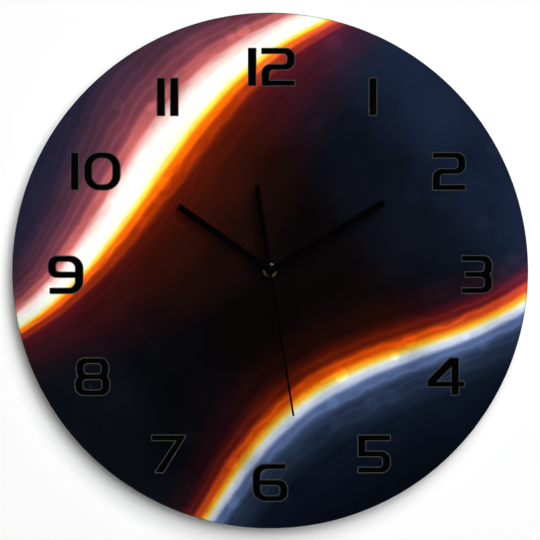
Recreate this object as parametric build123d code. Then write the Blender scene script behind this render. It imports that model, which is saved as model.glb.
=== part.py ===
from build123d import *
import math
import os

# Round wall clock: a printed glass disc with three hands, driven by a quartz movement behind it.
# Millimetres, +Z up. The dial faces -Y and the wall is the plane Y = 0, behind the movement.
# The hand axis runs along Y through the origin. A depth is a distance from the wall towards the viewer.

# Glass dial and its printed layer
dial_radius = 150.0
glass_thickness = 4.0
glass_bevel = 0.4
dial_hole_radius = 3.6
print_thickness = 0.3
print_margin = 0.1
ink_thickness = 0.12

# Numerals, upright on a ring that sits a little below the hand axis
numeral_ring_radius = 120.0
numeral_ring_drop = 2.3
digit_height = 21.5
digit_stem = 4.1
digit_bar = 2.8
digit_gap = 3.7
border_width = 0.5
diagonal_step = 0.92
bowl_radius = 5.0
bowl_hollow_radius = 2.4
sweep_radius = 7.2
sweep_hollow_radius = 4.2
zero_radius = 8.6
zero_hollow_radius = 5.4
digit_widths = {
    "0": 20.6,
    "2": 18.9,
    "3": 17.4,
    "4": 21.2,
    "5": 18.5,
    "6": 20.0,
    "7": 19.2,
    "8": 19.9,
    "9": 20.0,
}
three_inset = 1.9
six_tip_inset = 1.1
eight_waist_inset = 0.6
four_crossbar_height = 7.6
four_foot_inset = 3.1
seven_foot_inset = 1.9
seven_leg_width = 4.6
seven_leg_slimming = 1.0
# Shift of each numeral off its even place on the ring, set by eye
numeral_nudges = {
    1: (-0.2, -0.5),
    2: (0.2, 0.0),
    3: (0.3, 0.0),
    4: (-1.7, 0.7),
    5: (0.5, -0.5),
    6: (0.0, -1.1),
    7: (0.8, -0.5),
    8: (0.5, 0.5),
    9: (0.9, -0.2),
    10: (2.3, 0.0),
    11: (0.3, -0.6),
    12: (0.8, 0.7),
}

# Hands, with their angles clockwise from twelve at rest
hour_angle = 304.9
minute_angle = 59.2
second_angle = 170.9
hour_length = 65.0
minute_length = 77.0
second_length = 85.4
hand_width = 3.8
hand_sheet = 0.5
needle_width = 1.2
needle_sheet = 0.4
tail_length = 50.0
tail_weight_width = 2.9
tail_weight_start = 10.0
second_hub_radius = 1.9
second_tube_radius = 0.95
second_tube_length = 1.3
minute_hub_radius = 2.3
minute_boss_length = 0.9
collet_radius = 4.15
collet_length = 1.5
hand_gap = 0.45
hour_pipe_proud = 0.22

# Centre stack
second_arbor_radius = 0.5
minute_arbor_radius = 1.55
hour_pipe_radius = 2.3
bushing_radius = 3.3
bushing_flange_radius = 5.6
flange_thickness = 0.8
bushing_proud = 0.5
running_clearance = 0.05
nut_radius = 4.0
nut_thickness = 2.0
nut_bevel = 0.25
nut_slots = 4
nut_slot_width = 1.2
nut_slot_depth = 0.4
washer_radius = 4.05
washer_thickness = 0.5
gasket_radius = 10.5
gasket_thickness = 0.8
seat_clearance = 0.2

# Gear train: straight-flanked teeth, sized in modules and in shares of a tooth pitch
train_module = 0.2
motion_module = 0.35
rotor_pinion_teeth = 10
intermediate_teeth = 50
intermediate_pinion_teeth = 10
seconds_teeth = 60
seconds_pinion_teeth = 8
third_teeth = 60
third_pinion_teeth = 8
centre_teeth = 64
cannon_teeth = 14
motion_teeth = 42
motion_pinion_teeth = 10
hour_teeth = 40
setting_teeth = 20
wheel_form = {"above": 0.8, "below": 1.1, "tip": 0.2, "root": 0.58}
pinion_form = {"above": 0.75, "below": 1.15, "tip": 0.18, "root": 0.46}
third_direction = 75.0
intermediate_direction = 5.0
rotor_direction = 35.0
motion_direction = 160.0
setting_direction = 150.0
pivot_radius = 0.4
motion_pivot_radius = 0.6
pivot_boss_radius = 1.5
pivot_end_gap = 0.2

# Thickness of each working layer of the movement and the gap between layers
hour_wheel_thickness = 1.1
motion_wheel_thickness = 1.1
plate_thickness = 1.0
centre_wheel_thickness = 0.9
train_wheel_thickness = 0.7
stator_thickness = 1.2
layer_gap = 0.4

# Plates and the posts that carry them
post_radius = 2.0
post_neck_radius = 1.4
post_pin_radius = 0.9
post_gap = 1.1
motion_post_direction = -113.5
intermediate_post_direction = -63.5
third_post_directions = (42.0, 130.0)
plate_rim = 3.2

# Stepping motor
magnet_radius = 2.6
magnet_air_gap = 0.4
stator_rim = 1.8
stator_arm_width = 3.2
core_width = 3.0
core_thickness = 1.2
coil_length = 19.0
coil_half_width = 3.6
coil_flange = 0.8
coil_flange_rim = 0.3
bobbin_wall = 0.6
core_tab = 4.0
core_pin_radius = 0.8
coil_side_room = 1.1
winding_round = 1.6

# Circuit board and what sits on it
board_height = 7.5
board_thickness = 1.0
board_room = 0.8
board_post_radius = 1.5
board_post_spread = 13.0
chip_radius = 2.8
chip_height = 1.0
chip_round = 0.6
crystal_radius = 1.0
crystal_length = 6.0
crystal_offset = 9.0
solder_film = 0.03

# Battery and contacts
battery_radius = 7.25
battery_length = 50.5
battery_nub_radius = 2.75
battery_nub_length = 1.0
battery_rim_round = 0.6
battery_recess = 0.4
battery_clearance = 0.3
bay_clearance = 0.45
contact_sheet = 0.4
contact_gap = 0.1
contact_width = 9.0
contact_height = 10.0
contact_tail_width = 3.0
spring_room = 2.1
spring_width = 6.0
spring_tip_run = 0.7
spring_tip_rise = 3.3

# Movement case
case_wall = 1.3
case_corner = 2.5
bay_wall = 1.0
bay_wall_margin = 2.1
cover_thickness = 1.3
cover_ledge = 0.5
cover_clearance = 0.1
knob_radius = 4.5
knob_thickness = 1.6
knob_recess = 0.3
knob_notches = 16
knob_notch_radius = 0.45
knob_arbor_radius = 0.9
cup_gap = 0.5
cup_wall = 0.8
side_room = 1.0

# Wall hanger
hanger_sheet = 0.8
hanger_width = 24.0
hanger_foot = 12.0
hanger_rise = 2.6
hanger_run = 9.0
hanger_tongue = 24.0
hanger_bend = 1.6
hanger_corner = 6.0
hanger_wall_gap = 0.2
keyhole_radius = 4.25
keyhole_height = 9.0
keyhole_slot_width = 4.0
keyhole_slot_rise = 8.0

FILLET_LIMIT = 0.98
HOUR_STEP = 30
TOWARDS_VIEWER = (0, -1, 0)


def at_depth(depth):
    """Drawing plane at a depth, seen from the front: x to the right, y up."""
    return Plane(origin=(0, -depth, 0), x_dir=(1, 0, 0), z_dir=TOWARDS_VIEWER)


def slab(outline, back, front):
    """Solid between two depths with a front-view outline."""
    return extrude(at_depth(back) * outline, amount=front - back, dir=TOWARDS_VIEWER)


def round_bar(place, radius, back, front):
    """Cylinder along the hand axis direction at a front-view place."""
    return slab(Pos(*place) * Circle(radius), back, front)


def area(x0, y0, x1, y1):
    """Rectangle between two corners."""
    return Pos((x0 + x1) / 2, (y0 + y1) / 2) * Rectangle(x1 - x0, y1 - y0)


def soft_area(x0, y0, x1, y1, radius, corners=((-1, -1), (-1, 1), (1, -1), (1, 1))):
    """Rectangle between two corners, with the named corners rounded."""
    outline = area(x0, y0, x1, y1)
    middle_x = (x0 + x1) / 2
    middle_y = (y0 + y1) / 2
    chosen = [
        vertex
        for vertex in outline.vertices()
        if (math.copysign(1, vertex.X - middle_x), math.copysign(1, vertex.Y - middle_y)) in corners
    ]
    if not chosen:
        return outline
    sides_x = len({corner[0] for corner in corners})
    sides_y = len({corner[1] for corner in corners})
    limit = FILLET_LIMIT * min((x1 - x0) / sides_x, (y1 - y0) / sides_y)
    return fillet(chosen, min(radius, limit))


def box(x0, x1, back, front, z0, z1):
    """Block between two X, two depths and two Z."""
    return slab(area(x0, z0, x1, z1), back, front)


def strip(points, width):
    """Flat band of constant width along a few points, with round joints."""
    band = Sketch()
    for start, end in zip(points, points[1:]):
        length = math.dist(start, end)
        turn = math.degrees(math.atan2(end[1] - start[1], end[0] - start[0]))
        middle = ((start[0] + end[0]) / 2, (start[1] + end[1]) / 2)
        band += Pos(*middle) * Rot(0, 0, turn) * Rectangle(length, width)
        band += [Pos(*point) * Circle(width / 2) for point in (start, end)]
    return band


def away(place, distance, direction):
    """Place at a distance and direction, in degrees from +X, from another place."""
    angle = math.radians(direction)
    return (place[0] + distance * math.cos(angle), place[1] + distance * math.sin(angle))


def direction_between(start, end):
    """Direction from one place to another, in degrees from +X."""
    return math.degrees(math.atan2(end[1] - start[1], end[0] - start[0]))


# Gears
def tip_radius(teeth, module, form=wheel_form):
    """Outer radius of a gear."""
    return module * (teeth / 2 + form["above"])


def gear(teeth, module, turn, form=wheel_form):
    """Gear outline with a tooth centred on the direction given by turn."""
    step = 360 / teeth
    low = module * (teeth / 2 - form["below"])
    high = tip_radius(teeth, module, form)
    points = []
    for tooth in range(teeth):
        middle = turn + tooth * step
        points.append(away((0, 0), low, middle - form["root"] * step / 2))
        points.append(away((0, 0), high, middle - form["tip"] * step / 2))
        points.append(away((0, 0), high, middle + form["tip"] * step / 2))
        points.append(away((0, 0), low, middle + form["root"] * step / 2))
    return Polygon(*points, align=None)


def mesh_turn(teeth, turn, mate_teeth, direction):
    """Turn of a mating gear so that its gaps meet the teeth of a gear along a direction."""
    step = 360 / teeth
    mate_step = 360 / mate_teeth
    share = ((turn - direction) / step) % 1
    return direction + 180 + mate_step / 2 - share * mate_step


def spacing(teeth, mate_teeth, module):
    """Distance between the axes of two meshing gears."""
    return module * (teeth + mate_teeth) / 2


# Places of the arbors, seen from the front, with the hand axis at the middle
shaft = (0.0, 0.0)
third_spacing = spacing(seconds_pinion_teeth, third_teeth, train_module)
centre_module = 2 * third_spacing / (third_pinion_teeth + centre_teeth)
third_place = away(shaft, third_spacing, third_direction)
intermediate_spacing = spacing(seconds_teeth, intermediate_pinion_teeth, train_module)
intermediate_place = away(shaft, intermediate_spacing, intermediate_direction)
rotor_spacing = spacing(intermediate_teeth, rotor_pinion_teeth, train_module)
rotor_place = away(intermediate_place, rotor_spacing, rotor_direction)
motion_spacing = spacing(cannon_teeth, motion_teeth, motion_module)
hour_module = 2 * motion_spacing / (motion_pinion_teeth + hour_teeth)
motion_place = away(shaft, motion_spacing, motion_direction)
setting_spacing = spacing(motion_teeth, setting_teeth, motion_module)
setting_place = away(motion_place, setting_spacing, setting_direction)

motion_tip = tip_radius(motion_teeth, motion_module)
hour_tip = tip_radius(hour_teeth, hour_module)
third_tip = tip_radius(third_teeth, train_module)
intermediate_tip = tip_radius(intermediate_teeth, train_module)
post_reach = post_radius + post_gap
post_places = [
    away(motion_place, motion_tip + post_reach, motion_post_direction),
    away(intermediate_place, intermediate_tip + post_reach, intermediate_post_direction),
    away(third_place, third_tip + post_reach, third_post_directions[0]),
    away(third_place, third_tip + post_reach, third_post_directions[1]),
]

# Depths of the movement, counted back from the front of the case
case_depth = battery_recess + 2 * battery_radius + battery_clearance + case_wall
front_inner = case_depth - case_wall
flange_back = front_inner - flange_thickness
layers = {}
layer_front = flange_back - layer_gap
for layer_name, layer_thickness in (
    ("hour", hour_wheel_thickness),
    ("motion", motion_wheel_thickness),
    ("mid_plate", plate_thickness),
    ("centre", centre_wheel_thickness),
    ("third", train_wheel_thickness),
    ("seconds", train_wheel_thickness),
    ("intermediate", train_wheel_thickness),
    ("stator", stator_thickness),
    ("bridge", plate_thickness),
):
    layers[layer_name] = (layer_front - layer_thickness, layer_front)
    layer_front -= layer_thickness + layer_gap

# Depths in front of the movement
hanger_front = case_depth + hanger_sheet
print_back = hanger_front + gasket_thickness
glass_back = print_back + print_thickness
glass_front = glass_back + glass_thickness
washer_front = glass_front + washer_thickness
nut_front = washer_front + nut_thickness
bushing_front = nut_front + bushing_proud
collet_back = bushing_front + hand_gap
hour_hand_back = collet_back + collet_length
hour_hand_front = hour_hand_back + hand_sheet
hour_pipe_front = hour_hand_front + hour_pipe_proud
minute_boss_back = hour_pipe_front + hand_gap
minute_hand_back = minute_boss_back + minute_boss_length
minute_hand_front = minute_hand_back + hand_sheet
second_tube_back = minute_hand_front + hand_gap
second_hand_back = second_tube_back + second_tube_length
second_hand_front = second_hand_back + needle_sheet

# Inner room of the case, as seen from the front
cup_hollow_radius = knob_radius + cup_gap
cup_radius = cup_hollow_radius + cup_wall
bay_height = 2 * (battery_radius + bay_clearance)
bay_length = battery_length + contact_gap + spring_room + 2 * contact_sheet
inner_half = max(bay_length / 2, cup_radius + side_room - setting_place[0])
chamber_low = -hour_tip - bay_wall_margin
bay_high = chamber_low - bay_wall
bay_low = bay_high - bay_height
case_low = bay_low - case_wall
coil_z = rotor_place[1]
core_half_length = coil_length / 2 + core_tab
board_low = coil_z + core_half_length + board_room
board_high = board_low + board_height
chamber_high = board_high + side_room
case_high = chamber_high + case_wall
case_half = inner_half + case_wall
coil_x = inner_half - coil_half_width - coil_side_room
coil_middle = layers["stator"][1] + core_thickness / 2
core_pin_places = [(coil_x, coil_z + side * (core_half_length - core_tab / 2)) for side in (-1, 1)]
board_places = [(side * board_post_spread, (board_low + board_high) / 2) for side in (-1, 1)]
battery_z = (bay_low + bay_high) / 2
battery_middle = battery_recess + battery_radius
battery_right = inner_half - contact_sheet - contact_gap
battery_left = battery_right - battery_length


# Numerals
def right_bracket(width, low, high, low_start, high_start, outer, hollow, soft):
    """Stroke with bars at low and high joined by a stem on the right; soft names its rounded ends."""
    head = width - max(outer, digit_stem + hollow) - digit_bar / 2
    corners = [(1, side) for side in soft]
    stroke = soft_area(head, low, width, high, outer, corners)
    stroke -= soft_area(
        head - digit_stem, low + digit_bar, width - digit_stem, high - digit_bar, hollow, corners
    )
    stroke += area(low_start, low, head, low + digit_bar)
    stroke += area(high_start, high - digit_bar, head, high)
    return stroke


def half_turn(outline, width):
    """Outline turned upside down within its digit's box."""
    return Pos(width, digit_height) * Rot(0, 0, 180) * outline


def left_bracket(width, low, high, low_end, high_end, outer, hollow, soft):
    """Stroke with bars at low and high joined by a stem on the left; soft names its rounded ends."""
    turned = right_bracket(
        width,
        digit_height - high,
        digit_height - low,
        width - high_end,
        width - low_end,
        outer,
        hollow,
        [-side for side in soft],
    )
    return half_turn(turned, width)


def ring(x0, y0, x1, y1, outer, hollow):
    """Closed rounded stroke."""
    inside = soft_area(x0 + digit_stem, y0 + digit_bar, x1 - digit_stem, y1 - digit_bar, hollow)
    return soft_area(x0, y0, x1, y1, outer) - inside


def digit_outline(digit):
    """Outline of one digit with its lower left corner at the origin, and its width."""
    bowl = (bowl_radius, bowl_hollow_radius)
    sweep = (sweep_radius, sweep_hollow_radius)
    middle_low = (digit_height - digit_bar) / 2
    middle_high = (digit_height + digit_bar) / 2
    if digit == "1":
        return area(0, 0, digit_stem, digit_height), digit_stem
    width = digit_widths[digit]
    if digit == "0":
        outline = ring(0, 0, width, digit_height, zero_radius, zero_hollow_radius)
    elif digit == "2":
        outline = right_bracket(width, middle_low, digit_height, bowl_radius, 0, *bowl, (-1, 1))
        outline += left_bracket(width, 0, middle_high, width, width - bowl_radius, *bowl, (1,))
    elif digit == "3":
        outline = right_bracket(width, middle_low, digit_height, three_inset, 0, *bowl, (-1, 1))
        outline += right_bracket(width, 0, middle_high, 0, three_inset, *bowl, (-1, 1))
    elif digit == "4":
        crossbar_high = four_crossbar_height
        stem_right = width - four_foot_inset
        stem_left = stem_right - digit_stem
        shoulder = crossbar_high + diagonal_step
        peak = stem_left - diagonal_step
        slope = (digit_height - shoulder) / peak
        outline = Polygon(
            (0, crossbar_high - digit_bar),
            (stem_right, crossbar_high - digit_bar),
            (stem_right, digit_height),
            (peak, digit_height),
            (0, shoulder),
            align=None,
        )
        outline += area(stem_left, 0, stem_right, crossbar_high)
        outline += area(stem_left, crossbar_high - digit_bar, width, crossbar_high)
        counter_left = digit_stem + diagonal_step
        counter_high = crossbar_high + slope * (stem_left - counter_left)
        outline -= Polygon(
            (counter_left, crossbar_high),
            (stem_left, crossbar_high),
            (stem_left, counter_high),
            align=None,
        )
    elif digit == "5":
        outline = left_bracket(width, middle_low, digit_height, width / 2, width, *bowl, ())
        outline += right_bracket(width, 0, middle_high, 0, 0, *bowl, (-1, 1))
    elif digit in ("6", "9"):
        tip = width - six_tip_inset
        outline = left_bracket(width, 0, digit_height, width / 2, tip, *sweep, (-1, 1))
        outline += right_bracket(width, 0, middle_high, width / 2, digit_stem, *bowl, (-1, 1))
        if digit == "9":
            outline = half_turn(outline, width)
    elif digit == "7":
        foot = seven_foot_inset
        leg = seven_leg_width
        slope = (width - foot - leg) / (digit_height - diagonal_step)
        crotch = foot + slope * (digit_height - digit_bar) + seven_leg_slimming
        outline = Polygon(
            (0, digit_height),
            (0, digit_height - digit_bar),
            (crotch, digit_height - digit_bar),
            (foot, 0),
            (foot + leg, 0),
            (width, digit_height - diagonal_step),
            (width, digit_height),
            align=None,
        )
    elif digit == "8":
        waist = eight_waist_inset
        outline = ring(waist, middle_low, width - waist, digit_height, *bowl)
        outline += ring(0, 0, width, middle_high, *bowl)
    return outline, width


def numeral_outlines():
    """Outlines of every digit on the dial, in place."""
    placed = []
    for number in range(1, 13):
        digits = [digit_outline(digit) for digit in str(number)]
        block = sum(width for _, width in digits) + digit_gap * (len(digits) - 1)
        nudge = numeral_nudges[number]
        direction = 90 - HOUR_STEP * number
        centre = away((nudge[0], nudge[1] - numeral_ring_drop), numeral_ring_radius, direction)
        left = centre[0] - block / 2
        for outline, width in digits:
            placed.append(Pos(left, centre[1] - digit_height / 2) * outline)
            left += width + digit_gap
    return placed


def dial_pieces():
    """Glass disc, printed layer, ink numerals and their thin outlines."""
    glass = round_bar(shaft, dial_radius, glass_back, glass_front)
    glass -= round_bar(shaft, dial_hole_radius, glass_back, glass_front)
    glass = chamfer(glass.edges().filter_by(GeomType.CIRCLE).filter_by(at_rim), glass_bevel)
    inks = numeral_outlines()
    bordered = [offset(ink, border_width) for ink in inks]
    ink_back = glass_back - ink_thickness
    layer = round_bar(shaft, dial_radius - print_margin, print_back, glass_back)
    layer -= round_bar(shaft, dial_hole_radius, print_back, glass_back)
    layer -= [slab(outline, ink_back, glass_back) for outline in bordered]
    return {
        "glass_dial": glass,
        "dial_print": layer,
        "dial_numerals": [slab(ink, ink_back, glass_back) for ink in inks],
        "numeral_borders": [slab(edge - ink, ink_back, glass_back) for edge, ink in zip(bordered, inks)],
    }


def at_rim(edge):
    """Whether an edge of the disc lies on its rim."""
    return edge.radius > dial_radius / 2


# Hands
def hand_pieces():
    """Three hands with the collet and tube that hold them on their pipes and arbor."""
    hour_turn = Rot(0, 0, -hour_angle)
    minute_turn = Rot(0, 0, -minute_angle)
    second_turn = Rot(0, 0, -second_angle)
    half = hand_width / 2
    hour_bar = hour_turn * (area(-half, 0, half, hour_length) - Circle(hour_pipe_radius))
    collet = round_bar(shaft, collet_radius, collet_back, hour_hand_back)
    collet -= round_bar(shaft, hour_pipe_radius, collet_back, hour_hand_back)
    minute_bar = minute_turn * (area(-half, 0, half, minute_length) + Circle(minute_hub_radius))
    minute_hand = slab(minute_bar, minute_hand_back, minute_hand_front)
    minute_hand += round_bar(shaft, minute_hub_radius, minute_boss_back, minute_hand_back)
    minute_hand -= round_bar(shaft, minute_arbor_radius, minute_boss_back, minute_hand_front)
    needle = needle_width / 2
    weight = tail_weight_width / 2
    second_outline = area(-needle, -tail_weight_start, needle, second_length)
    second_outline += area(-weight, -tail_length, weight, -tail_weight_start)
    second_outline += Circle(second_hub_radius)
    tube = round_bar(shaft, second_tube_radius, second_tube_back, second_hand_back)
    tube -= round_bar(shaft, second_arbor_radius, second_tube_back, second_hand_back)
    return {
        "hour_hand": slab(hour_bar, hour_hand_back, hour_hand_front),
        "hour_hand_collet": collet,
        "minute_hand": minute_hand,
        "second_hand": slab(second_turn * second_outline, second_hand_back, second_hand_front),
        "second_hand_tube": tube,
    }


# Fixing of the dial on the movement
def fixing_pieces():
    """Threaded bushing of the case, with the gasket, washer and slotted nut that clamp the glass."""
    bushing = round_bar(shaft, bushing_flange_radius, flange_back, front_inner)
    bushing += round_bar(shaft, bushing_radius, front_inner, bushing_front)
    bushing -= round_bar(shaft, hour_pipe_radius + running_clearance, flange_back, bushing_front)
    gasket = round_bar(shaft, gasket_radius, hanger_front, print_back)
    gasket -= round_bar(shaft, bushing_radius + seat_clearance, hanger_front, print_back)
    washer = round_bar(shaft, washer_radius, glass_front, washer_front)
    washer -= round_bar(shaft, bushing_radius + seat_clearance, glass_front, washer_front)
    nut = round_bar(shaft, nut_radius, washer_front, nut_front)
    nut = chamfer(nut.faces().sort_by(Axis.Y)[0].edges(), nut_bevel)
    slots = PolarLocations(nut_radius, nut_slots) * Rectangle(2 * nut_slot_depth, nut_slot_width)
    nut -= [slab(slot, washer_front, nut_front) for slot in slots]
    nut -= round_bar(shaft, bushing_radius, washer_front, nut_front)
    return {"bushing": bushing, "dial_gasket": gasket, "nut_washer": washer, "ring_nut": nut}


def hanger_piece():
    """Bent steel strap on the bushing, with a keyhole tongue behind the case top."""
    knee = case_high + hanger_rise
    heel = knee + hanger_run
    top = heel + hanger_tongue
    rear = hanger_wall_gap + hanger_sheet / 2
    front = case_depth + hanger_sheet / 2
    path = FilletPolyline(
        (-front, -hanger_foot),
        (-front, knee),
        (-rear, heel),
        (-rear, top),
        radius=hanger_bend,
    )
    profile = make_face(offset(path, hanger_sheet / 2, kind=Kind.INTERSECTION))
    strap = extrude(Plane.YZ * profile, amount=hanger_width / 2, both=True)
    silhouette = soft_area(-hanger_width / 2, -hanger_foot, hanger_width / 2, top, hanger_corner)
    strap &= slab(silhouette, 0, hanger_front)
    keyhole_z = heel + keyhole_height
    slot = Pos(0, keyhole_z) * Circle(keyhole_radius)
    slot += strip([(0, keyhole_z), (0, keyhole_z + keyhole_slot_rise)], keyhole_slot_width)
    strap -= slab(slot, 0, case_depth / 2)
    strap -= round_bar(shaft, bushing_radius + seat_clearance, case_depth, hanger_front)
    return {"hanger": strap}


# Movement case
def case_pieces():
    """Movement case with its battery bay and posts, and the rear cover with the knob's cup."""
    outline = soft_area(-case_half, case_low, case_half, case_high, case_corner)
    case = slab(outline, 0, case_depth)
    case -= box(-inner_half, inner_half, 0, front_inner, chamber_low, chamber_high)
    case -= box(-inner_half, inner_half, 0, front_inner, bay_low, bay_high)
    ledge_half = inner_half + cover_ledge
    ledge_low = chamber_low - cover_ledge
    ledge_high = chamber_high + cover_ledge
    case -= box(-ledge_half, ledge_half, 0, cover_thickness, ledge_low, ledge_high)
    tail_back = battery_middle - contact_tail_width / 2 - contact_gap
    tail_front = battery_middle + contact_tail_width / 2 + contact_gap
    for side in (-1, 1):
        inner, outer = sorted((side * inner_half, side * (inner_half - contact_sheet - contact_gap)))
        case -= box(inner, outer, tail_back, tail_front, bay_high, chamber_low)
    case -= round_bar(shaft, bushing_radius, front_inner, case_depth)
    for place in post_places:
        case += round_bar(place, post_radius, layers["mid_plate"][1], front_inner)
        case += round_bar(place, post_neck_radius, layers["bridge"][1], layers["mid_plate"][1])
        case += round_bar(place, post_pin_radius, layers["bridge"][0], layers["bridge"][1])
    core_front = layers["stator"][1] + core_thickness
    for place in core_pin_places:
        case += round_bar(place, stator_arm_width / 2, core_front, front_inner)
        case += round_bar(place, core_pin_radius, layers["stator"][0], core_front)
    for place in board_places:
        case += round_bar(place, board_post_radius, board_depths()[1], front_inner)
    for place in (motion_place, setting_place):
        case += round_bar(place, pivot_boss_radius, flange_back, front_inner)
        hole = motion_pivot_radius + running_clearance
        case -= round_bar(place, hole, flange_back, front_inner)
    cover_half = ledge_half - cover_clearance
    cover = box(
        -cover_half,
        cover_half,
        0,
        cover_thickness,
        ledge_low + cover_clearance,
        ledge_high - cover_clearance,
    )
    cup_floor = cup_floor_depth()
    cover += round_bar(setting_place, cup_radius, 0, cup_floor + cup_wall)
    cover -= round_bar(setting_place, cup_hollow_radius, 0, cup_floor)
    cover -= round_bar(setting_place, knob_arbor_radius + running_clearance, 0, cup_floor + cup_wall)
    return {"case_front": case, "back_cover": cover}


def cup_floor_depth():
    """Depth of the floor of the cup that the setting knob turns in."""
    return 2 * knob_recess + knob_thickness


def plate_outline():
    """Front-view outline of the two bearing plates, round the four posts."""
    return offset(Polygon(*post_places, align=None), plate_rim)


def bearing_plate(name, neck_radius, bearings):
    """One bearing plate with holes for the posts and for each arbor."""
    back, front = layers[name]
    plate = slab(plate_outline(), back, front)
    plate -= [round_bar(place, neck_radius + running_clearance, back, front) for place in post_places]
    plate -= [round_bar(place, radius + running_clearance, back, front) for place, radius in bearings]
    return plate


def plate_pieces():
    """Bearing plates in front of and behind the going train."""
    train = [(third_place, pivot_radius), (intermediate_place, pivot_radius), (rotor_place, pivot_radius)]
    front_bearings = train + [(shaft, minute_arbor_radius), (motion_place, motion_pivot_radius)]
    rear_bearings = train + [(shaft, second_arbor_radius)]
    return {
        "mid_plate": bearing_plate("mid_plate", post_neck_radius, front_bearings),
        "train_bridge": bearing_plate("bridge", post_pin_radius, rear_bearings),
    }


# Stepping motor
def motor_pieces():
    """Rotor, stator and coil of the stepping motor."""
    back, front = layers["stator"]
    core_front = front + core_thickness
    hole = magnet_radius + magnet_air_gap
    stator_outline = Pos(*rotor_place) * Circle(hole + stator_rim)
    elbow_x = coil_x - coil_half_width - coil_flange_rim - stator_arm_width / 2 - layer_gap
    for place in core_pin_places:
        stator_outline += strip([rotor_place, (elbow_x, place[1]), place], stator_arm_width)
    stator_outline -= Pos(*rotor_place) * Circle(hole)
    stator_outline -= [Pos(*place) * Circle(core_pin_radius) for place in core_pin_places]
    core_outline = area(
        coil_x - core_width / 2,
        coil_z - core_half_length,
        coil_x + core_width / 2,
        coil_z + core_half_length,
    )
    core_outline -= [Pos(*place) * Circle(core_pin_radius) for place in core_pin_places]
    core_room = box(
        coil_x - core_width / 2,
        coil_x + core_width / 2,
        front,
        core_front,
        coil_z - core_half_length,
        coil_z + core_half_length,
    )
    sleeve_x = core_width / 2 + bobbin_wall
    sleeve_y = core_thickness / 2 + bobbin_wall
    coil_low = coil_z - coil_length / 2
    coil_high = coil_z + coil_length / 2

    def coil_block(half_x, half_depth, low, high):
        """Block round the coil axis."""
        return box(
            coil_x - half_x, coil_x + half_x, coil_middle - half_depth, coil_middle + half_depth, low, high
        )

    flange_half = coil_half_width + coil_flange_rim
    bobbin = coil_block(sleeve_x, sleeve_y, coil_low, coil_high)
    for low in (coil_low, coil_high - coil_flange):
        bobbin += coil_block(flange_half, coil_half_width, low, low + coil_flange)
    winding = coil_block(
        coil_half_width, coil_half_width - coil_flange_rim, coil_low + coil_flange, coil_high - coil_flange
    )
    winding = fillet(winding.edges().filter_by(Axis.Z), winding_round)
    winding -= coil_block(sleeve_x, sleeve_y, coil_low, coil_high)
    magnet = round_bar(rotor_place, magnet_radius, back, front)
    magnet -= round_bar(rotor_place, pivot_radius, back, front)
    rotor_turn = mesh_turn(
        intermediate_teeth, rotor_direction, rotor_pinion_teeth, rotor_direction
    )
    rotor = train_arbor(rotor_place)
    rotor += gear_slab(
        rotor_place, rotor_pinion_teeth, train_module, rotor_turn, "intermediate", pinion_form
    )
    return {
        "stator": slab(stator_outline, back, front),
        "coil_core": slab(core_outline, front, core_front),
        "coil_bobbin": bobbin - core_room,
        "coil_winding": winding,
        "rotor_magnet": magnet,
        "rotor_pinion": rotor,
    }


# Wheels
def gear_slab(place, teeth, module, turn, layer, form=wheel_form):
    """Gear at a place, filling one layer of the movement."""
    back, front = layers[layer]
    return slab(Pos(*place) * gear(teeth, module, turn, form), back, front)


def train_arbor(place):
    """Thin arbor of the going train, from the train bridge to the mid plate."""
    return round_bar(place, pivot_radius, layers["bridge"][0], layers["mid_plate"][1])


def train_pieces():
    """Wheels between the rotor and the minute arbor's clutch."""
    seconds_turn = intermediate_direction
    intermediate = train_arbor(intermediate_place)
    intermediate += gear_slab(
        intermediate_place, intermediate_teeth, train_module, rotor_direction, "intermediate"
    )
    intermediate += gear_slab(
        intermediate_place,
        intermediate_pinion_teeth,
        train_module,
        mesh_turn(seconds_teeth, seconds_turn, intermediate_pinion_teeth, intermediate_direction),
        "seconds",
        pinion_form,
    )
    back, front = layers["seconds"]
    seconds = gear_slab(shaft, seconds_teeth, train_module, seconds_turn, "seconds")
    seconds -= round_bar(shaft, second_arbor_radius, back, front)
    third_turn = direction_between(third_place, shaft)
    seconds_arbor = round_bar(shaft, second_arbor_radius, layers["bridge"][0], second_hand_back)
    seconds_arbor += gear_slab(
        shaft,
        seconds_pinion_teeth,
        train_module,
        mesh_turn(third_teeth, third_turn, seconds_pinion_teeth, third_turn),
        "third",
        pinion_form,
    )
    third = train_arbor(third_place)
    third += gear_slab(third_place, third_teeth, train_module, third_turn, "third")
    third += gear_slab(
        third_place,
        third_pinion_teeth,
        centre_module,
        mesh_turn(centre_teeth, third_direction, third_pinion_teeth, third_direction),
        "centre",
        pinion_form,
    )
    back, front = layers["centre"]
    centre = gear_slab(shaft, centre_teeth, centre_module, third_direction, "centre")
    centre -= round_bar(shaft, minute_arbor_radius + running_clearance, back, front)
    return {
        "intermediate_wheel": intermediate,
        "seconds_wheel": seconds,
        "seconds_arbor": seconds_arbor,
        "third_wheel": third,
        "centre_wheel": centre,
    }


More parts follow.
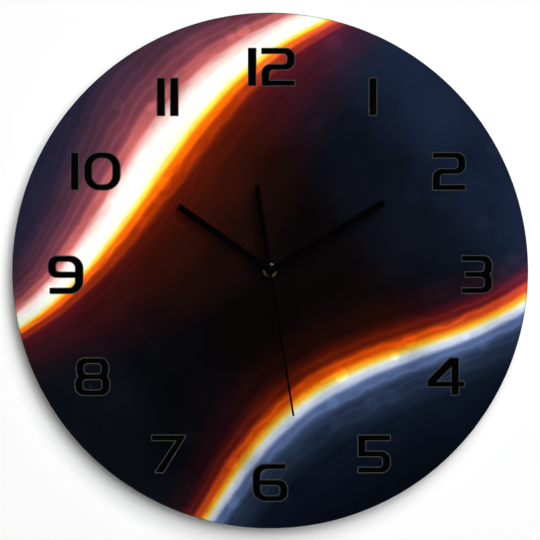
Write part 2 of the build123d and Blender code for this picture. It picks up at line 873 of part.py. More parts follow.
def motion_pieces():
    """Wheels that carry the minute arbor's turn to the hour pipe and to the setting knob."""
    cannon_turn = mesh_turn(
        motion_teeth, motion_direction + 180, cannon_teeth, motion_direction + 180
    )
    minute_arbor = round_bar(shaft, minute_arbor_radius, layers["centre"][0], minute_hand_front)
    minute_arbor += gear_slab(shaft, cannon_teeth, motion_module, cannon_turn, "motion", pinion_form)
    minute_arbor -= round_bar(
        shaft, second_arbor_radius + running_clearance, layers["centre"][0], minute_hand_front
    )
    pinion_turn = mesh_turn(hour_teeth, motion_direction, motion_pinion_teeth, motion_direction)
    pivot_front = front_inner - pivot_end_gap
    motion = round_bar(motion_place, motion_pivot_radius, layers["mid_plate"][0], pivot_front)
    motion += gear_slab(motion_place, motion_teeth, motion_module, motion_direction + 180, "motion")
    motion += round_bar(
        motion_place, pivot_boss_radius, layers["motion"][1], layers["hour"][0]
    )
    motion += gear_slab(
        motion_place, motion_pinion_teeth, hour_module, pinion_turn, "hour", pinion_form
    )
    hour = gear_slab(shaft, hour_teeth, hour_module, motion_direction, "hour")
    hour += round_bar(shaft, hour_pipe_radius, layers["hour"][1], hour_pipe_front)
    hour -= round_bar(
        shaft, minute_arbor_radius + running_clearance, layers["hour"][0], hour_pipe_front
    )
    setting_turn = mesh_turn(
        motion_teeth, motion_direction + 180, setting_teeth, setting_direction
    )
    setting = round_bar(setting_place, knob_arbor_radius, knob_recess, flange_back - layer_gap)
    setting += round_bar(setting_place, motion_pivot_radius, flange_back - layer_gap, pivot_front)
    setting += gear_slab(setting_place, setting_teeth, motion_module, setting_turn, "motion")
    knob_outline = Circle(knob_radius) - Circle(knob_arbor_radius)
    knob_outline -= PolarLocations(knob_radius, knob_notches) * Circle(knob_notch_radius)
    return {
        "minute_arbor": minute_arbor,
        "motion_wheel": motion,
        "hour_wheel": hour,
        "setting_gear": setting,
        "setting_knob": slab(
            Pos(*setting_place) * knob_outline, knob_recess, knob_recess + knob_thickness
        ),
    }


# Electrics
def board_depths():
    """Back and front depth of the circuit board."""
    back = layers["stator"][0]
    return back, back + board_thickness


def contact_outline():
    """Flat outline of a contact: a plate behind the battery end and a tail up to the board."""
    plate = area(
        -contact_width / 2,
        battery_z - contact_height / 2,
        contact_width / 2,
        battery_z + contact_height / 2,
    )
    tail_high = (board_low + board_high) / 2
    tail = area(-contact_tail_width / 2, battery_z, contact_tail_width / 2, tail_high)
    return plate + tail


def contact_plate(side):
    """Sheet-metal contact flat against one end wall of the case."""
    plane = Plane(origin=(side * inner_half, -battery_middle, 0), x_dir=(0, 1, 0), z_dir=(1, 0, 0))
    return extrude(plane * contact_outline(), amount=contact_sheet, dir=(-side, 0, 0))


def battery_pieces():
    """Single round cell lying across the bottom of the case, with its two contacts."""
    along = Plane(origin=(battery_left, -battery_middle, battery_z), x_dir=(0, 1, 0), z_dir=(1, 0, 0))
    can_length = battery_length - battery_nub_length
    can = extrude(along * Circle(battery_radius), amount=can_length)
    can = fillet(can.edges().filter_by(GeomType.CIRCLE), battery_rim_round)
    can += extrude(along * Circle(battery_nub_radius), amount=battery_length)
    reach = battery_left - contact_gap
    foot = -inner_half + contact_sheet / 2
    tongue = strip(
        [
            (foot, battery_z - contact_height / 2 + contact_sheet / 2),
            (reach - contact_sheet / 2, battery_z),
            (foot + spring_tip_run, battery_z + spring_tip_rise),
        ],
        contact_sheet,
    )
    spring = slab(tongue, battery_middle - spring_width / 2, battery_middle + spring_width / 2)
    return {
        "battery": can,
        "battery_contact_positive": contact_plate(1),
        "battery_contact_negative": contact_plate(-1) + spring,
    }


def board_pieces():
    """Circuit board across the top of the case, its sealed chip and the timing crystal."""
    back, front = board_depths()
    board_half = inner_half - contact_sheet
    board_z = (board_low + board_high) / 2
    chip = round_bar((0, board_z), chip_radius, back - chip_height, back)
    chip = fillet(chip.faces().sort_by(Axis.Y)[-1].edges(), chip_round)
    can = extrude(
        Plane(
            origin=(crystal_offset, -back + crystal_radius + solder_film, board_z),
            x_dir=(0, 1, 0),
            z_dir=(1, 0, 0),
        )
        * Circle(crystal_radius),
        amount=crystal_length,
    )
    return {
        "circuit_board": box(-board_half, board_half, back, front, board_low, board_high),
        "chip_cover": chip,
        "crystal": can,
    }


def write_parts(pieces):
    """Write one file per node; a list of solids becomes one group."""
    os.makedirs("parts", exist_ok=True)
    for name, shape in pieces.items():
        if isinstance(shape, list):
            solids = [solid for item in shape for solid in item.solids()]
            shape = Compound(children=solids)
        export_step(shape, f"parts/{name}.step")


nodes = {
    **dial_pieces(),
    **hand_pieces(),
    **fixing_pieces(),
    **hanger_piece(),
    **case_pieces(),
    **plate_pieces(),
    **motor_pieces(),
    **train_pieces(),
    **motion_pieces(),
    **battery_pieces(),
    **board_pieces(),
}
write_parts(nodes)
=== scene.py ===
"""Looks of a frameless round wall clock: printed glass, three black hands and a quartz movement."""

import logging
import math
from contextlib import contextmanager
from dataclasses import dataclass
from enum import Enum
from functools import partial
from typing import Callable, Iterator, Sequence

import bmesh
import bpy
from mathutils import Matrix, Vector


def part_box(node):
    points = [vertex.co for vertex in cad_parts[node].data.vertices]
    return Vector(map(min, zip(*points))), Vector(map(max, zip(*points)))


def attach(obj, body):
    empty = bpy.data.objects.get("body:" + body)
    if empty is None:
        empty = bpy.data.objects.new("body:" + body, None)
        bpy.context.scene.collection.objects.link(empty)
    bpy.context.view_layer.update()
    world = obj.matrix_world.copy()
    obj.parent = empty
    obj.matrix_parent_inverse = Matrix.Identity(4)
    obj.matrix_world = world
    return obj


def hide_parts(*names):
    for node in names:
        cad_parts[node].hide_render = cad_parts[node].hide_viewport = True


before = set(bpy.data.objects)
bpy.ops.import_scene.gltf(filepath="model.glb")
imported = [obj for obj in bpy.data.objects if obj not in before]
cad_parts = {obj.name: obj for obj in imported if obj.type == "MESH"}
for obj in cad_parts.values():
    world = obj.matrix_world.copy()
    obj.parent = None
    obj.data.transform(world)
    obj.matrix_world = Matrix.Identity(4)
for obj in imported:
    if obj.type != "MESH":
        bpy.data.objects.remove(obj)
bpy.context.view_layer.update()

LOG = logging.getLogger("wall_clock")
MM = 0.001
WELD = 1e-6
FLAT_ANGLE = math.radians(0.5)
SHARP_ANGLE = math.radians(32)
IMAGE_SIDE = 540
QUARTER = math.pi / 2
RIGHT = Vector((1.0, 0.0, 0.0))
TO_VIEWER = Vector((0.0, -1.0, 0.0))
UP = Vector((0.0, 0.0, 1.0))
ACROSS_AXIS = (1.0, 0.0, 1.0)
# Bands that the wave texture draws in one unit at a scale of one
BANDS_PER_UNIT = 20 / (2 * math.pi)

Node = bpy.types.Node
Socket = bpy.types.NodeSocket
Source = Node | Socket
Piece = bpy.types.Object
Paint = bpy.types.Material
Colour = tuple[float, float, float, float]
Profile = list[tuple[float, float]]
Stop = tuple[float, str, float]
Inputs = dict[str | int, object]
Adder = Callable[..., Node]


class Body(Enum):
    """Groups of the clock that move together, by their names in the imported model."""

    CLOCK = "root"
    SECONDS = "seconds"
    MINUTES = "minutes"
    HOURS = "hours"
    SETTING = "setting"
    CELL = "cell"


class Slot(Enum):
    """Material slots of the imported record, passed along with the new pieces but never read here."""

    GLASS = "glass"
    HAND_PAINT = "hand_paint"
    BRASS = "brass"
    BLACK_METAL = "black_metal"
    RUBBER = "rubber"
    ZINC_STEEL = "zinc_steel"
    BLACK_PLASTIC = "black_plastic"
    BATTERY_JACKET = "battery_jacket"


class Element(Enum):
    """Elements of a mesh that can be selected, by their names in the edited mesh."""

    FACE = "faces"
    EDGE = "edges"


def linear(shade: str) -> Colour:
    """Turn an sRGB hex colour into linear values.

    Args:
        shade: Colour such as "#1a2b3c".

    Returns:
        Linear red, green, blue and an alpha of one.
    """
    parts = [int(shade[i : i + 2], 16) / 255 for i in (1, 3, 5)]
    red, green, blue = (p / 12.92 if p <= 0.04045 else ((p + 0.055) / 1.055) ** 2.4 for p in parts)
    return red, green, blue, 1.0


def add_node(tree: bpy.types.NodeTree, kind: str, inputs: Inputs | None = None, **settings: object) -> Node:
    """Add one shader node with its settings and links.

    Args:
        tree: Node tree that takes the node.
        kind: Node type after "ShaderNode".
        inputs: Input name or number to a value, a socket, or a node whose first output in use feeds it.
        settings: Attributes to set on the node.

    Returns:
        The new node.
    """
    node = tree.nodes.new("ShaderNode" + kind)
    for name, value in settings.items():
        setattr(node, name, value)
    for key, value in (inputs or {}).items():
        if isinstance(value, Node):
            value = next(socket for socket in value.outputs if socket.enabled)
        if isinstance(value, Socket):
            tree.links.new(value, node.inputs[key])
        else:
            node.inputs[key].default_value = value
    return node


def start_tree(owner: Paint | bpy.types.World) -> Adder:
    """Empty a node tree.

    Args:
        owner: Material or world that has the tree.

    Returns:
        The add-node helper, tied to that tree.
    """
    owner.use_nodes = True
    owner.node_tree.nodes.clear()
    return partial(add_node, owner.node_tree)


def paint(name: str, wire: Callable[[Adder], Node]) -> Paint:
    """Make a material.

    Args:
        name: Its name.
        wire: Wires its shader with the helper that it is given, and returns the last node.

    Returns:
        New material.
    """
    made = bpy.data.materials.new(name)
    add = start_tree(made)
    add("OutputMaterial", {"Surface": wire(add)})
    return made


def fill_ramp(node: Node, interpolation: str, stops: Sequence[Stop]) -> None:
    """Set the stops of a new colour ramp.

    Args:
        node: Ramp node, with its two first stops.
        interpolation: How the ramp goes from stop to stop.
        stops: Position, hex colour and strength, kept in the alpha, of each stop from low to high.
    """
    ramp = node.color_ramp
    ramp.interpolation = interpolation
    while len(ramp.elements) < len(stops):
        ramp.elements.new(1.0)
    for element, (position, shade, strength) in zip(ramp.elements, stops):
        element.position = position
        element.color = (*linear(shade)[:3], strength)


@dataclass(frozen=True)
class Finish:
    """Finish of one real material, with a fine grain that varies its tone, gloss and relief.

    Attributes:
        name: Material's common name and how its surface was made.
        shade: Main colour.
        cast: Colour that the grain drifts to.
        roughness: Mean roughness.
        drift: Change of roughness over the grain, each way.
        grain: Size of the grain in millimetres.
        relief: Height of the grain in millimetres.
        metallic: One for bare metal.
        ior: Index of refraction.
        specular: Share of the plain reflection that the surface keeps.
    """

    name: str
    shade: str
    cast: str
    roughness: float
    drift: float = 0.06
    grain: float = 0.5
    relief: float = 0.004
    metallic: float = 0.0
    ior: float = 1.5
    specular: float = 0.5

    @property
    def density(self) -> float:
        """Return the number of grains in a metre."""
        return 1 / (self.grain * MM)

    def material(self) -> Paint:
        """Return the material, made the first time it is asked for."""
        return bpy.data.materials.get(self.name) or paint(self.name, self.wire)

    def pattern(self, add: Adder, place: Socket) -> Source:
        """Draw a fine grain from zero to one over object coordinates in metres."""
        return add("TexNoise", {"Vector": place, "Scale": self.density, "Detail": 3.0})

    def wire(self, add: Adder) -> Node:
        """Wire the shader.

        Args:
            add: Adds a node to the material.

        Returns:
            Shader node.
        """
        grain = self.pattern(add, add("TexCoord").outputs["Object"])
        low = self.roughness - self.drift
        high = self.roughness + self.drift
        inputs = {
            "Base Color": add(
                "Mix", {0: grain, 6: linear(self.shade), 7: linear(self.cast)}, data_type="RGBA"
            ),
            "Roughness": add("MapRange", {"Value": grain, "To Min": low, "To Max": high}),
            "Normal": add("Bump", {"Height": grain, "Distance": self.relief * MM}),
            "Metallic": self.metallic,
            "IOR": self.ior,
            "Specular IOR Level": self.specular,
        }
        return add("BsdfPrincipled", inputs)


@dataclass(frozen=True)
class TurnedFinish(Finish):
    """Metal turned on a lathe about the hand axis: fine rings as wide as the tool's feed."""

    def pattern(self, add: Adder, place: Socket) -> Source:
        """Draw rings round the hand axis.

        Args:
            add: Adds a node to the material.
            place: Object coordinates, in metres.

        Returns:
            Grain from zero to one.
        """
        flat = add("VectorMath", {0: place, 1: ACROSS_AXIS}, operation="MULTIPLY")
        radius = add("VectorMath", {0: flat}, operation="LENGTH")
        rings = {"W": radius, "Scale": self.density, "Detail": 2.0}
        return add("TexNoise", rings, noise_dimensions="1D")


@dataclass(frozen=True)
class RolledFinish(Finish):
    """Rolled sheet metal: fine drawn lines along the way it was rolled.

    Attributes:
        stretch: Scale of the grain's coordinates on each axis, small along the lines.
    """

    stretch: tuple[float, float, float] = (1.0, 1.0, 0.02)

    def pattern(self, add: Adder, place: Socket) -> Source:
        """Draw lines along the rolling direction, as a grain from zero to one."""
        drawn = add("Mapping", {"Vector": place, "Scale": self.stretch})
        return add("TexNoise", {"Vector": drawn, "Scale": self.density, "Detail": 4.0})


@dataclass(frozen=True)
class WoundFinish(Finish):
    """Enamelled wire wound side by side: rounded ridges across the coil, one wire apart, coloured with
    painted shade in the grooves between turns and a painted highlight on each crest.
    """

    def pattern(self, add: Adder, place: Socket) -> Source:
        """Draw ridges along the coil's upright axis; the same grain paints shade into the grooves and a
        highlight onto the crests.

        Args:
            add: Adds a node to the material.
            place: Object coordinates, in metres.

        Returns:
            Grain from zero to one.
        """
        scale = 1 / (self.grain * MM * BANDS_PER_UNIT)
        wires = {"Vector": place, "Scale": scale, "Distortion": 0.6, "Detail": 1.0}
        return add("TexWave", wires, bands_direction="Z").outputs["Fac"]


@dataclass(frozen=True)
class TrackFinish(Finish):
    """Circuit board under green solder mask: narrow pale lines between darker, slightly raised fields.

    Attributes:
        edge: Distances from the middle of a line, in shares of a field, at which it fades and is gone.
    """

    edge: tuple[float, float] = (0.08, 0.14)

    def pattern(self, add: Adder, place: Socket) -> Source:
        """Draw fields parted by narrow lines.

        Args:
            add: Adds a node to the material.
            place: Object coordinates, in metres.

        Returns:
            Grain from zero to one.
        """
        cells = {"Vector": place, "Scale": self.density, "Randomness": 0.55}
        gap = add("TexVoronoi", cells, feature="DISTANCE_TO_EDGE", distance="EUCLIDEAN")
        rise = {"Value": gap, "From Min": self.edge[0], "From Max": self.edge[1]}
        return add("MapRange", rise, interpolation_type="SMOOTHSTEP")


@dataclass(frozen=True)
class JacketFinish(Finish):
    """Shrunk printed film round a dry cell: a long and a short band of colour, each with a pale line.

    Attributes:
        start: Place of the cell's flat end, sideways, in millimetres.
        length: Length of the cell in millimetres.
        line: Colour of the pale lines.
        joins: Shares of the length at which the first line, the short band and the last line start.
        wear: How much the grain shows in the colour.
        coat: Weight of the film's gloss.
        coat_roughness: Roughness of that gloss.
    """

    start: float = -24.25
    length: float = 50.5
    line: str = "#d8dadb"
    joins: tuple[float, float, float] = (0.63, 0.66, 0.95)
    wear: float = 0.12
    coat: float = 0.4
    coat_roughness: float = 0.12

    def wire(self, add: Adder) -> Node:
        """Wire the banded film.

        Args:
            add: Adds a node to the material.

        Returns:
            Shader node.
        """
        place = add("TexCoord").outputs["Object"]
        along = add("SeparateXYZ", {0: place}).outputs["X"]
        end = self.start + self.length
        share = add("MapRange", {"Value": along, "From Min": self.start * MM, "From Max": end * MM})
        bands = add("ValToRGB", {"Fac": share})
        shades = (self.shade, self.line, self.cast, self.line)
        fill_ramp(bands, "CONSTANT", [(at, shade, 1.0) for at, shade in zip((0.0, *self.joins), shades)])
        grain = self.pattern(add, place)
        tone = {0: self.wear, 6: bands, 7: grain}
        inputs = {
            "Base Color": add("Mix", tone, data_type="RGBA", blend_type="OVERLAY"),
            "Normal": add("Bump", {"Height": grain, "Distance": self.relief * MM}),
            "Roughness": self.roughness,
            "IOR": self.ior,
            "Coat Weight": self.coat,
            "Coat Roughness": self.coat_roughness,
        }
        return add("BsdfPrincipled", inputs)


@dataclass(frozen=True)
class GlassFinish(Finish):
    """Float glass: clear faces and a ground, faintly green edge.

    Attributes:
        rim: Radius in millimetres past which the ground edge starts.
        blend: Width in millimetres over which the clear glass gives way to its colour.
        wall_slope: Slope towards the viewer under which a face counts as the side wall.
        edge_roughness: Roughness of the ground side wall.
        edge_clear: Share of the light that this wall lets through, where the grinding frosts it.
    """

    rim: float = 149.5
    blend: float = 0.1
    wall_slope: float = 0.2
    edge_roughness: float = 0.5
    edge_clear: float = 0.45

    def wire(self, add: Adder) -> Node:
        """Wire the glass, which lets the lamps through to the print.

        Args:
            add: Adds a node to the material.

        Returns:
            Shader node.
        """
        place = add("TexCoord").outputs["Object"]
        flat = add("VectorMath", {0: place, 1: ACROSS_AXIS}, operation="MULTIPLY")
        radius = add("VectorMath", {0: flat}, operation="LENGTH")
        rim = self.rim * MM
        edge = add("MapRange", {"Value": radius, "From Min": rim, "From Max": rim + self.blend * MM})
        slope = add("SeparateXYZ", {0: add("NewGeometry").outputs["True Normal"]}).outputs["Y"]
        level = add("Math", {0: slope}, operation="ABSOLUTE")
        wall = add("Math", {0: level, 1: self.wall_slope}, operation="LESS_THAN")
        frost = add("Math", {0: wall, 1: edge}, operation="MULTIPLY")
        rough = {"Value": frost, "To Min": self.roughness, "To Max": self.edge_roughness}
        inputs = {
            "Base Color": add(
                "Mix", {0: edge, 6: linear(self.shade), 7: linear(self.cast)}, data_type="RGBA"
            ),
            "Roughness": add("MapRange", rough),
            "IOR": self.ior,
            "Transmission Weight": add(
                "MapRange", {"Value": frost, "To Min": 1.0, "To Max": self.edge_clear}
            ),
        }
        shadow = add("LightPath").outputs["Is Shadow Ray"]
        return add("MixShader", {0: shadow, 1: add("BsdfPrincipled", inputs), 2: add("BsdfTransparent")})


@dataclass(frozen=True)
class Ribbon:
    """One ribbon of light in the printed picture, in shares of the dial's radius.

    Attributes:
        offset: Distance of its mean line from the middle of the dial.
        swing: Height of its waves.
        waves: Radians of wave along one radius.
        phase: Start of the wave in radians.
        narrowing: How much faster it thins towards its ends.
        stops: Distance from its line, colour and strength of its fine strands there.
        reach: Distance each side that its stops cover.
    """

    offset: float
    swing: float
    waves: float
    phase: float
    narrowing: float
    stops: tuple[Stop, ...]
    reach: float = 0.9

    def draw(self, add: Adder, along: Socket, across: Socket) -> tuple[Node, Node]:
        """Draw the ribbon.

        Args:
            add: Adds a node to the material.
            along: Place along the ribbons, in radii.
            across: Place across the ribbons, in radii.

        Returns:
            Distance from the ribbon's line, and the ramp with its colour and strand strength.
        """
        angle = add("Math", {0: along, 1: self.waves, 2: self.phase}, operation="MULTIPLY_ADD")
        wave = add("Math", {0: angle}, operation="SINE")
        line = add("Math", {0: wave, 1: self.swing, 2: self.offset}, operation="MULTIPLY_ADD")
        away = add("Math", {0: across, 1: line}, operation="SUBTRACT")
        square = add("Math", {0: along, 1: along}, operation="MULTIPLY")
        thinning = add("Math", {0: square, 1: self.narrowing, 2: 1.0}, operation="MULTIPLY_ADD")
        distance = add("Math", {0: away, 1: thinning}, operation="MULTIPLY")
        share = add("MapRange", {"Value": distance, "From Min": -self.reach, "From Max": self.reach})
        ramp = add("ValToRGB", {"Fac": share})
        span = 2 * self.reach
        stops = [((at + self.reach) / span, shade, strength) for at, shade, strength in self.stops]
        fill_ramp(ramp, "EASE", stops)
        return distance, ramp


UPPER_RIBBON = Ribbon(
    offset=0.56,
    swing=0.13,
    waves=2.5,
    phase=0.5,
    narrowing=1.5,
    stops=(
        (-0.64, "#080506", 0.0),
        (-0.45, "#1b0b09", 0.1),
        (-0.26, "#360f08", 0.2),
        (-0.15, "#481004", 0.5),
        (-0.085, "#9a2e03", 0.8),
        (-0.05, "#ff6a00", 0.7),
        (-0.025, "#ffd23a", 0.2),
        (-0.005, "#fff9dc", 0.0),
        (0.04, "#ffffff", 0.0),
        (0.075, "#ffd9d4", 0.2),
        (0.125, "#bd5f5f", 0.5),
        (0.19, "#6f3644", 0.6),
        (0.29, "#432736", 0.5),
        (0.42, "#241e32", 0.3),
        (0.62, "#141d33", 0.1),
    ),
)
LOWER_RIBBON = Ribbon(
    offset=-0.60,
    swing=0.11,
    waves=3.1,
    phase=2.3,
    narrowing=0.5,
    stops=(
        (-0.75, "#05070c", 0.0),
        (-0.45, "#090f1b", 0.1),
        (-0.24, "#101829", 0.3),
        (-0.11, "#2a3650", 0.6),
        (-0.045, "#6074a4", 0.6),
        (-0.014, "#dfe6ff", 0.1),
        (0.0, "#fffbe6", 0.0),
        (0.012, "#ffe45a", 0.0),
        (0.026, "#ff9a18", 0.3),
        (0.05, "#d94a02", 0.8),
        (0.095, "#611704", 0.8),
        (0.17, "#220905", 0.4),
        (0.30, "#0d0606", 0.1),
        (0.55, "#080506", 0.0),
    ),
)


@dataclass(frozen=True)
class PictureFinish(Finish):
    """Picture printed on the back of the glass: two ribbons of light over dusk haze.

    The shade and the cast are those of the primer on its rear.

    Attributes:
        radius: Radius of the picture in millimetres.
        slant: Degrees that the ribbons climb to the right.
        primer_depth: Distance from the wall in millimetres behind which the primer shows.
        haze: Size of the haze in millimetres.
        haze_range: Lowest and highest haze that count.
        haze_light: Light of the picture at these two.
        strand_contrast: Power that thins the strands in the ribbons.
        dot: Spacing of the soft dots in millimetres.
        dot_edge: Shares of the spacing at which a dot starts and is full.
        dot_light: Light of the dots against that of the strands.
        gain: Light that the strands and dots add.
        foot_light: Light at the foot of the picture.
        foot_reach: Height over the middle, in radii, at which the light is full.
        night: Colours of the dark band from its lower to its upper end.
    """

    radius: float = 150.0
    slant: float = 38.0
    primer_depth: float = 18.2
    haze: float = 48.0
    haze_range: tuple[float, float] = (0.3, 0.7)
    haze_light: tuple[float, float] = (0.62, 1.3)
    strand_contrast: float = 3.0
    dot: float = 21.0
    dot_edge: tuple[float, float] = (0.24, 0.15)
    dot_light: float = 0.5
    gain: float = 0.6
    foot_light: float = 0.45
    foot_reach: float = 0.3
    night: tuple[Stop, ...] = (
        (0.06, "#0e121a", 1.0),
        (0.22, "#0a0a10", 1.0),
        (0.38, "#080506", 1.0),
        (0.62, "#080506", 1.0),
        (0.78, "#0d111c", 1.0),
        (0.96, "#172137", 1.0),
    )

    def wire(self, add: Adder) -> Node:
        """Wire the picture and its primer.

        Args:
            add: Adds a node to the material.

        Returns:
            Shader node.
        """
        place = add("TexCoord").outputs["Object"]
        spot = add("SeparateXYZ", {0: place})
        haze_grain = {"Vector": place, "Scale": 1 / (self.haze * MM), "Detail": 6.0, "Roughness": 0.58}
        haze = add("TexNoise", haze_grain)
        rear = add("Math", {0: spot.outputs["Y"], 1: -self.primer_depth * MM}, operation="GREATER_THAN")
        primer = add("Mix", {0: haze, 6: linear(self.shade), 7: linear(self.cast)}, data_type="RGBA")
        picture = self.picture(add, place, spot.outputs["Z"], haze)
        relief = {"Height": self.pattern(add, place), "Distance": self.relief * MM}
        inputs = {
            "Base Color": add("Mix", {0: rear, 6: picture, 7: primer}, data_type="RGBA"),
            "Normal": add("Bump", relief),
            "Roughness": self.roughness,
            "Specular IOR Level": self.specular,
        }
        return add("BsdfPrincipled", inputs)

    def picture(self, add: Adder, place: Socket, height: Socket, haze: Node) -> Node:
        """Draw the picture.

        Args:
            add: Adds a node to the material.
            place: Object coordinates, in metres.
            height: Height over the hand axis, in metres.
            haze: Noise of the haze.

        Returns:
            Colour of the picture.
        """
        radius = self.radius * MM
        turned = {"Rotation": (0.0, math.radians(self.slant), 0.0), "Scale": (1 / radius,) * 3}
        axes = add("SeparateXYZ", {0: add("Mapping", {"Vector": place, **turned})})
        along = axes.outputs["X"]
        across = axes.outputs["Z"]
        upper_away, upper = UPPER_RIBBON.draw(add, along, across)
        lower_away, lower = LOWER_RIBBON.draw(add, along, across)
        above = add("Math", {0: across, 1: 0.0}, operation="GREATER_THAN")
        glow = add("Mix", {0: above, 6: lower, 7: upper}, data_type="RGBA")
        night = add("ValToRGB", {"Fac": add("MapRange", {"Value": along, "From Min": -1.0})})
        fill_ramp(night, "EASE", self.night)
        ground = add("Mix", {0: 1.0, 6: glow, 7: night}, data_type="RGBA", blend_type="LIGHTEN")
        strength = add("Mix", {0: above, 2: lower.outputs["Alpha"], 3: upper.outputs["Alpha"]})
        away = add("Mix", {0: above, 2: lower_away, 3: upper_away})
        flow = add("CombineXYZ", {0: along, 1: 0.0, 2: away})
        folds = {"Vector": flow, "Scale": 7.0, "Distortion": 5.0, "Detail": 2.0, "Detail Scale": 1.1}
        strands = add("TexWave", folds, bands_direction="Z").outputs["Fac"]
        fine = add("Math", {0: strands, 1: self.strand_contrast}, operation="POWER")
        lift = add("Math", {0: fine, 1: strength}, operation="MULTIPLY")
        dots = add("TexVoronoi", {"Vector": place, "Scale": 1 / (self.dot * MM)}, feature="F1")
        start, full = self.dot_edge
        soft = add(
            "MapRange",
            {"Value": dots, "From Min": start, "From Max": full},
            interpolation_type="SMOOTHSTEP",
        )
        sparkle = add("Math", {0: soft, 1: self.dot_light, 2: lift}, operation="MULTIPLY_ADD")
        low, high = self.haze_range
        thin, thick = self.haze_light
        veil = add(
            "MapRange", {"Value": haze, "From Min": low, "From Max": high, "To Min": thin, "To Max": thick}
        )
        light = add("Math", {0: sparkle, 1: self.gain, 2: veil}, operation="MULTIPLY_ADD")
        rise = {"From Min": -radius, "From Max": self.foot_reach * radius}
        dusk = add("MapRange", {"Value": height, **rise, "To Min": self.foot_light, "To Max": 1.0})
        level = add("Math", {0: light, 1: dusk}, operation="MULTIPLY")
        lit = add("VectorMath", {0: ground, "Scale": level}, operation="SCALE")
        return add("VectorMath", {0: lit, 1: (1.0, 1.0, 1.0)}, operation="MINIMUM")


# Float glass with ground edges: deep clear reflections in front, a frosted green line at the rim
FLOAT_GLASS = GlassFinish("soda_lime_float_glass", "#f6fbf9", "#7fae9b", 0.0, ior=1.52)
# Cured ink on glass: rich even colour in front, a chalky grey coat with thin spots on the rear
PICTURE_INK = PictureFinish("uv_cured_picture_ink", "#a9a9a5", "#8b8b89", 0.5, grain=0.3, specular=0.0)
# Dense black ink: flat and nearly without gloss
BLACK_INK = Finish("uv_cured_black_ink", "#010101", "#030303", 0.55, grain=0.4, relief=0.002, specular=0.0)
# Thin grey ink line round each numeral: flat, a little paler than the numeral
GREY_INK = Finish("uv_cured_grey_ink", "#343435", "#444445", 0.55, grain=0.4, relief=0.002, specular=0.0)
# Matt lacquer on stamped aluminium: black with a dry, fine orange-peel
MATT_LACQUER = Finish(
    "matt_black_lacquer", "#010101", "#040404", 0.8, grain=0.22, relief=0.006, specular=0.02
)
# Turned brass: warm, slightly dull, with the lathe's rings
TURNED_BRASS = TurnedFinish("turned_brass", "#b3a868", "#948850", 0.3, drift=0.05, grain=0.12, metallic=1.0)
# Blackened steel: dark and oily with a soft shine
BLACKENED_STEEL = Finish(
    "blackened_steel", "#18181a", "#242427", 0.42, grain=0.15, relief=0.003, metallic=1.0
)
# Moulded rubber: charcoal, dull, faintly dusty
CHLOROPRENE = Finish("moulded_chloroprene", "#161617", "#232324", 0.78, grain=0.35, relief=0.02)
# Zinc-plated sheet: cool pale grey with rolling lines
ZINC_SHEET = RolledFinish(
    "zinc_plated_sheet_steel", "#b9bcbd", "#8f9598", 0.34, drift=0.1, grain=0.16, relief=0.003, metallic=1.0
)
# Ground steel wire: bright and smooth, with hardly any grain
GROUND_STEEL = Finish(
    "ground_steel_arbor", "#b5b5b3", "#9c9c9a", 0.24, drift=0.04, grain=0.1, relief=0.001, metallic=1.0
)
# Nickel-plated strip: warm silver, drawn lines along it
NICKEL_STRIP = RolledFinish(
    "nickel_plated_strip", "#c9c2b4", "#a79f90", 0.26, grain=0.12, relief=0.002, metallic=1.0
)
# Moulded black ABS with a spark-eroded texture: dull, finely pebbled
BLACK_ABS = Finish(
    "spark_textured_black_abs", "#121213", "#1d1d1f", 0.52, drift=0.07, grain=0.38, relief=0.03
)
# The knob is moulded in a polished tool, so that it shines more than the case
POLISHED_ABS = Finish("polished_black_abs", "#101011", "#171719", 0.3, grain=0.8, relief=0.002)
# Natural acetal: milky white, waxy sheen
NATURAL_ACETAL = Finish("moulded_natural_acetal", "#e4e0d6", "#d3cec2", 0.4, grain=0.6, ior=1.48)
# Glass-filled plate plastic: off-white, slightly mottled
PLATE_PLASTIC = Finish("glass_filled_polyamide", "#d6d3ca", "#bfbbb0", 0.55, grain=0.45, relief=0.012)
# Solder mask over copper: deep green fields with paler lines between them
SOLDER_MASK = TrackFinish("solder_masked_board", "#2f7a46", "#14482a", 0.34, grain=2.2, relief=0.03)
# Epoxy blob over the chip: black and wet-looking
BLACK_EPOXY = Finish("glob_top_epoxy", "#0b0b0c", "#121213", 0.16, drift=0.03, grain=1.2, relief=0.01)
# Fine enamelled copper: warm ridges, drawn 0.25 mm apart so that the turns can be seen, with painted shade
# (#6e3318) in the grooves and a painted highlight (#c8763f) on the crests
COPPER_WIRE = WoundFinish(
    "enamelled_copper_wire", "#6e3318", "#c8763f", 0.3, drift=0.05, grain=0.25, relief=0.05, metallic=1.0
)
# Sintered ferrite: dark grey, dry and grainy
FERRITE = Finish("sintered_ferrite", "#3a3a3c", "#4b4b4d", 0.6, grain=0.12, relief=0.01)
# Shrunk film over the dry cell: glossy bands of plain colour
CELL_FILM = JacketFinish("shrunk_printed_film", "#2c3238", "#7f97a8", 0.34, grain=1.5)
# Drawn, plated steel ends of the cell: bright and slightly warm
CELL_STEEL = Finish(
    "drawn_nickel_plated_can", "#c4c2bb", "#a9a69e", 0.3, grain=0.3, relief=0.003, metallic=1.0
)
# Pressed fibre ring that insulates the cell's top: black and dull
CELL_FIBRE = Finish("pressed_insulating_fibre", "#1b1b1b", "#2a2a2a", 0.8, grain=0.3, relief=0.015)


def pick(piece: Piece) -> None:
    """Select a piece alone and make it the active one.

    Args:
        piece: Object to work on.
    """
    bpy.ops.object.select_all(action="DESELECT")
    piece.select_set(True)
    bpy.context.view_layer.objects.active = piece


@contextmanager
def editing(piece: Piece) -> Iterator[None]:
    """Open a piece in edit mode with nothing selected, and close it at the end.

    Args:
        piece: Mesh object to edit.

    Yields:
        Nothing.
    """
    pick(piece)
    bpy.ops.object.mode_set(mode="EDIT")
    bpy.ops.mesh.select_all(action="DESELECT")
    yield
    bpy.ops.object.mode_set(mode="OBJECT")


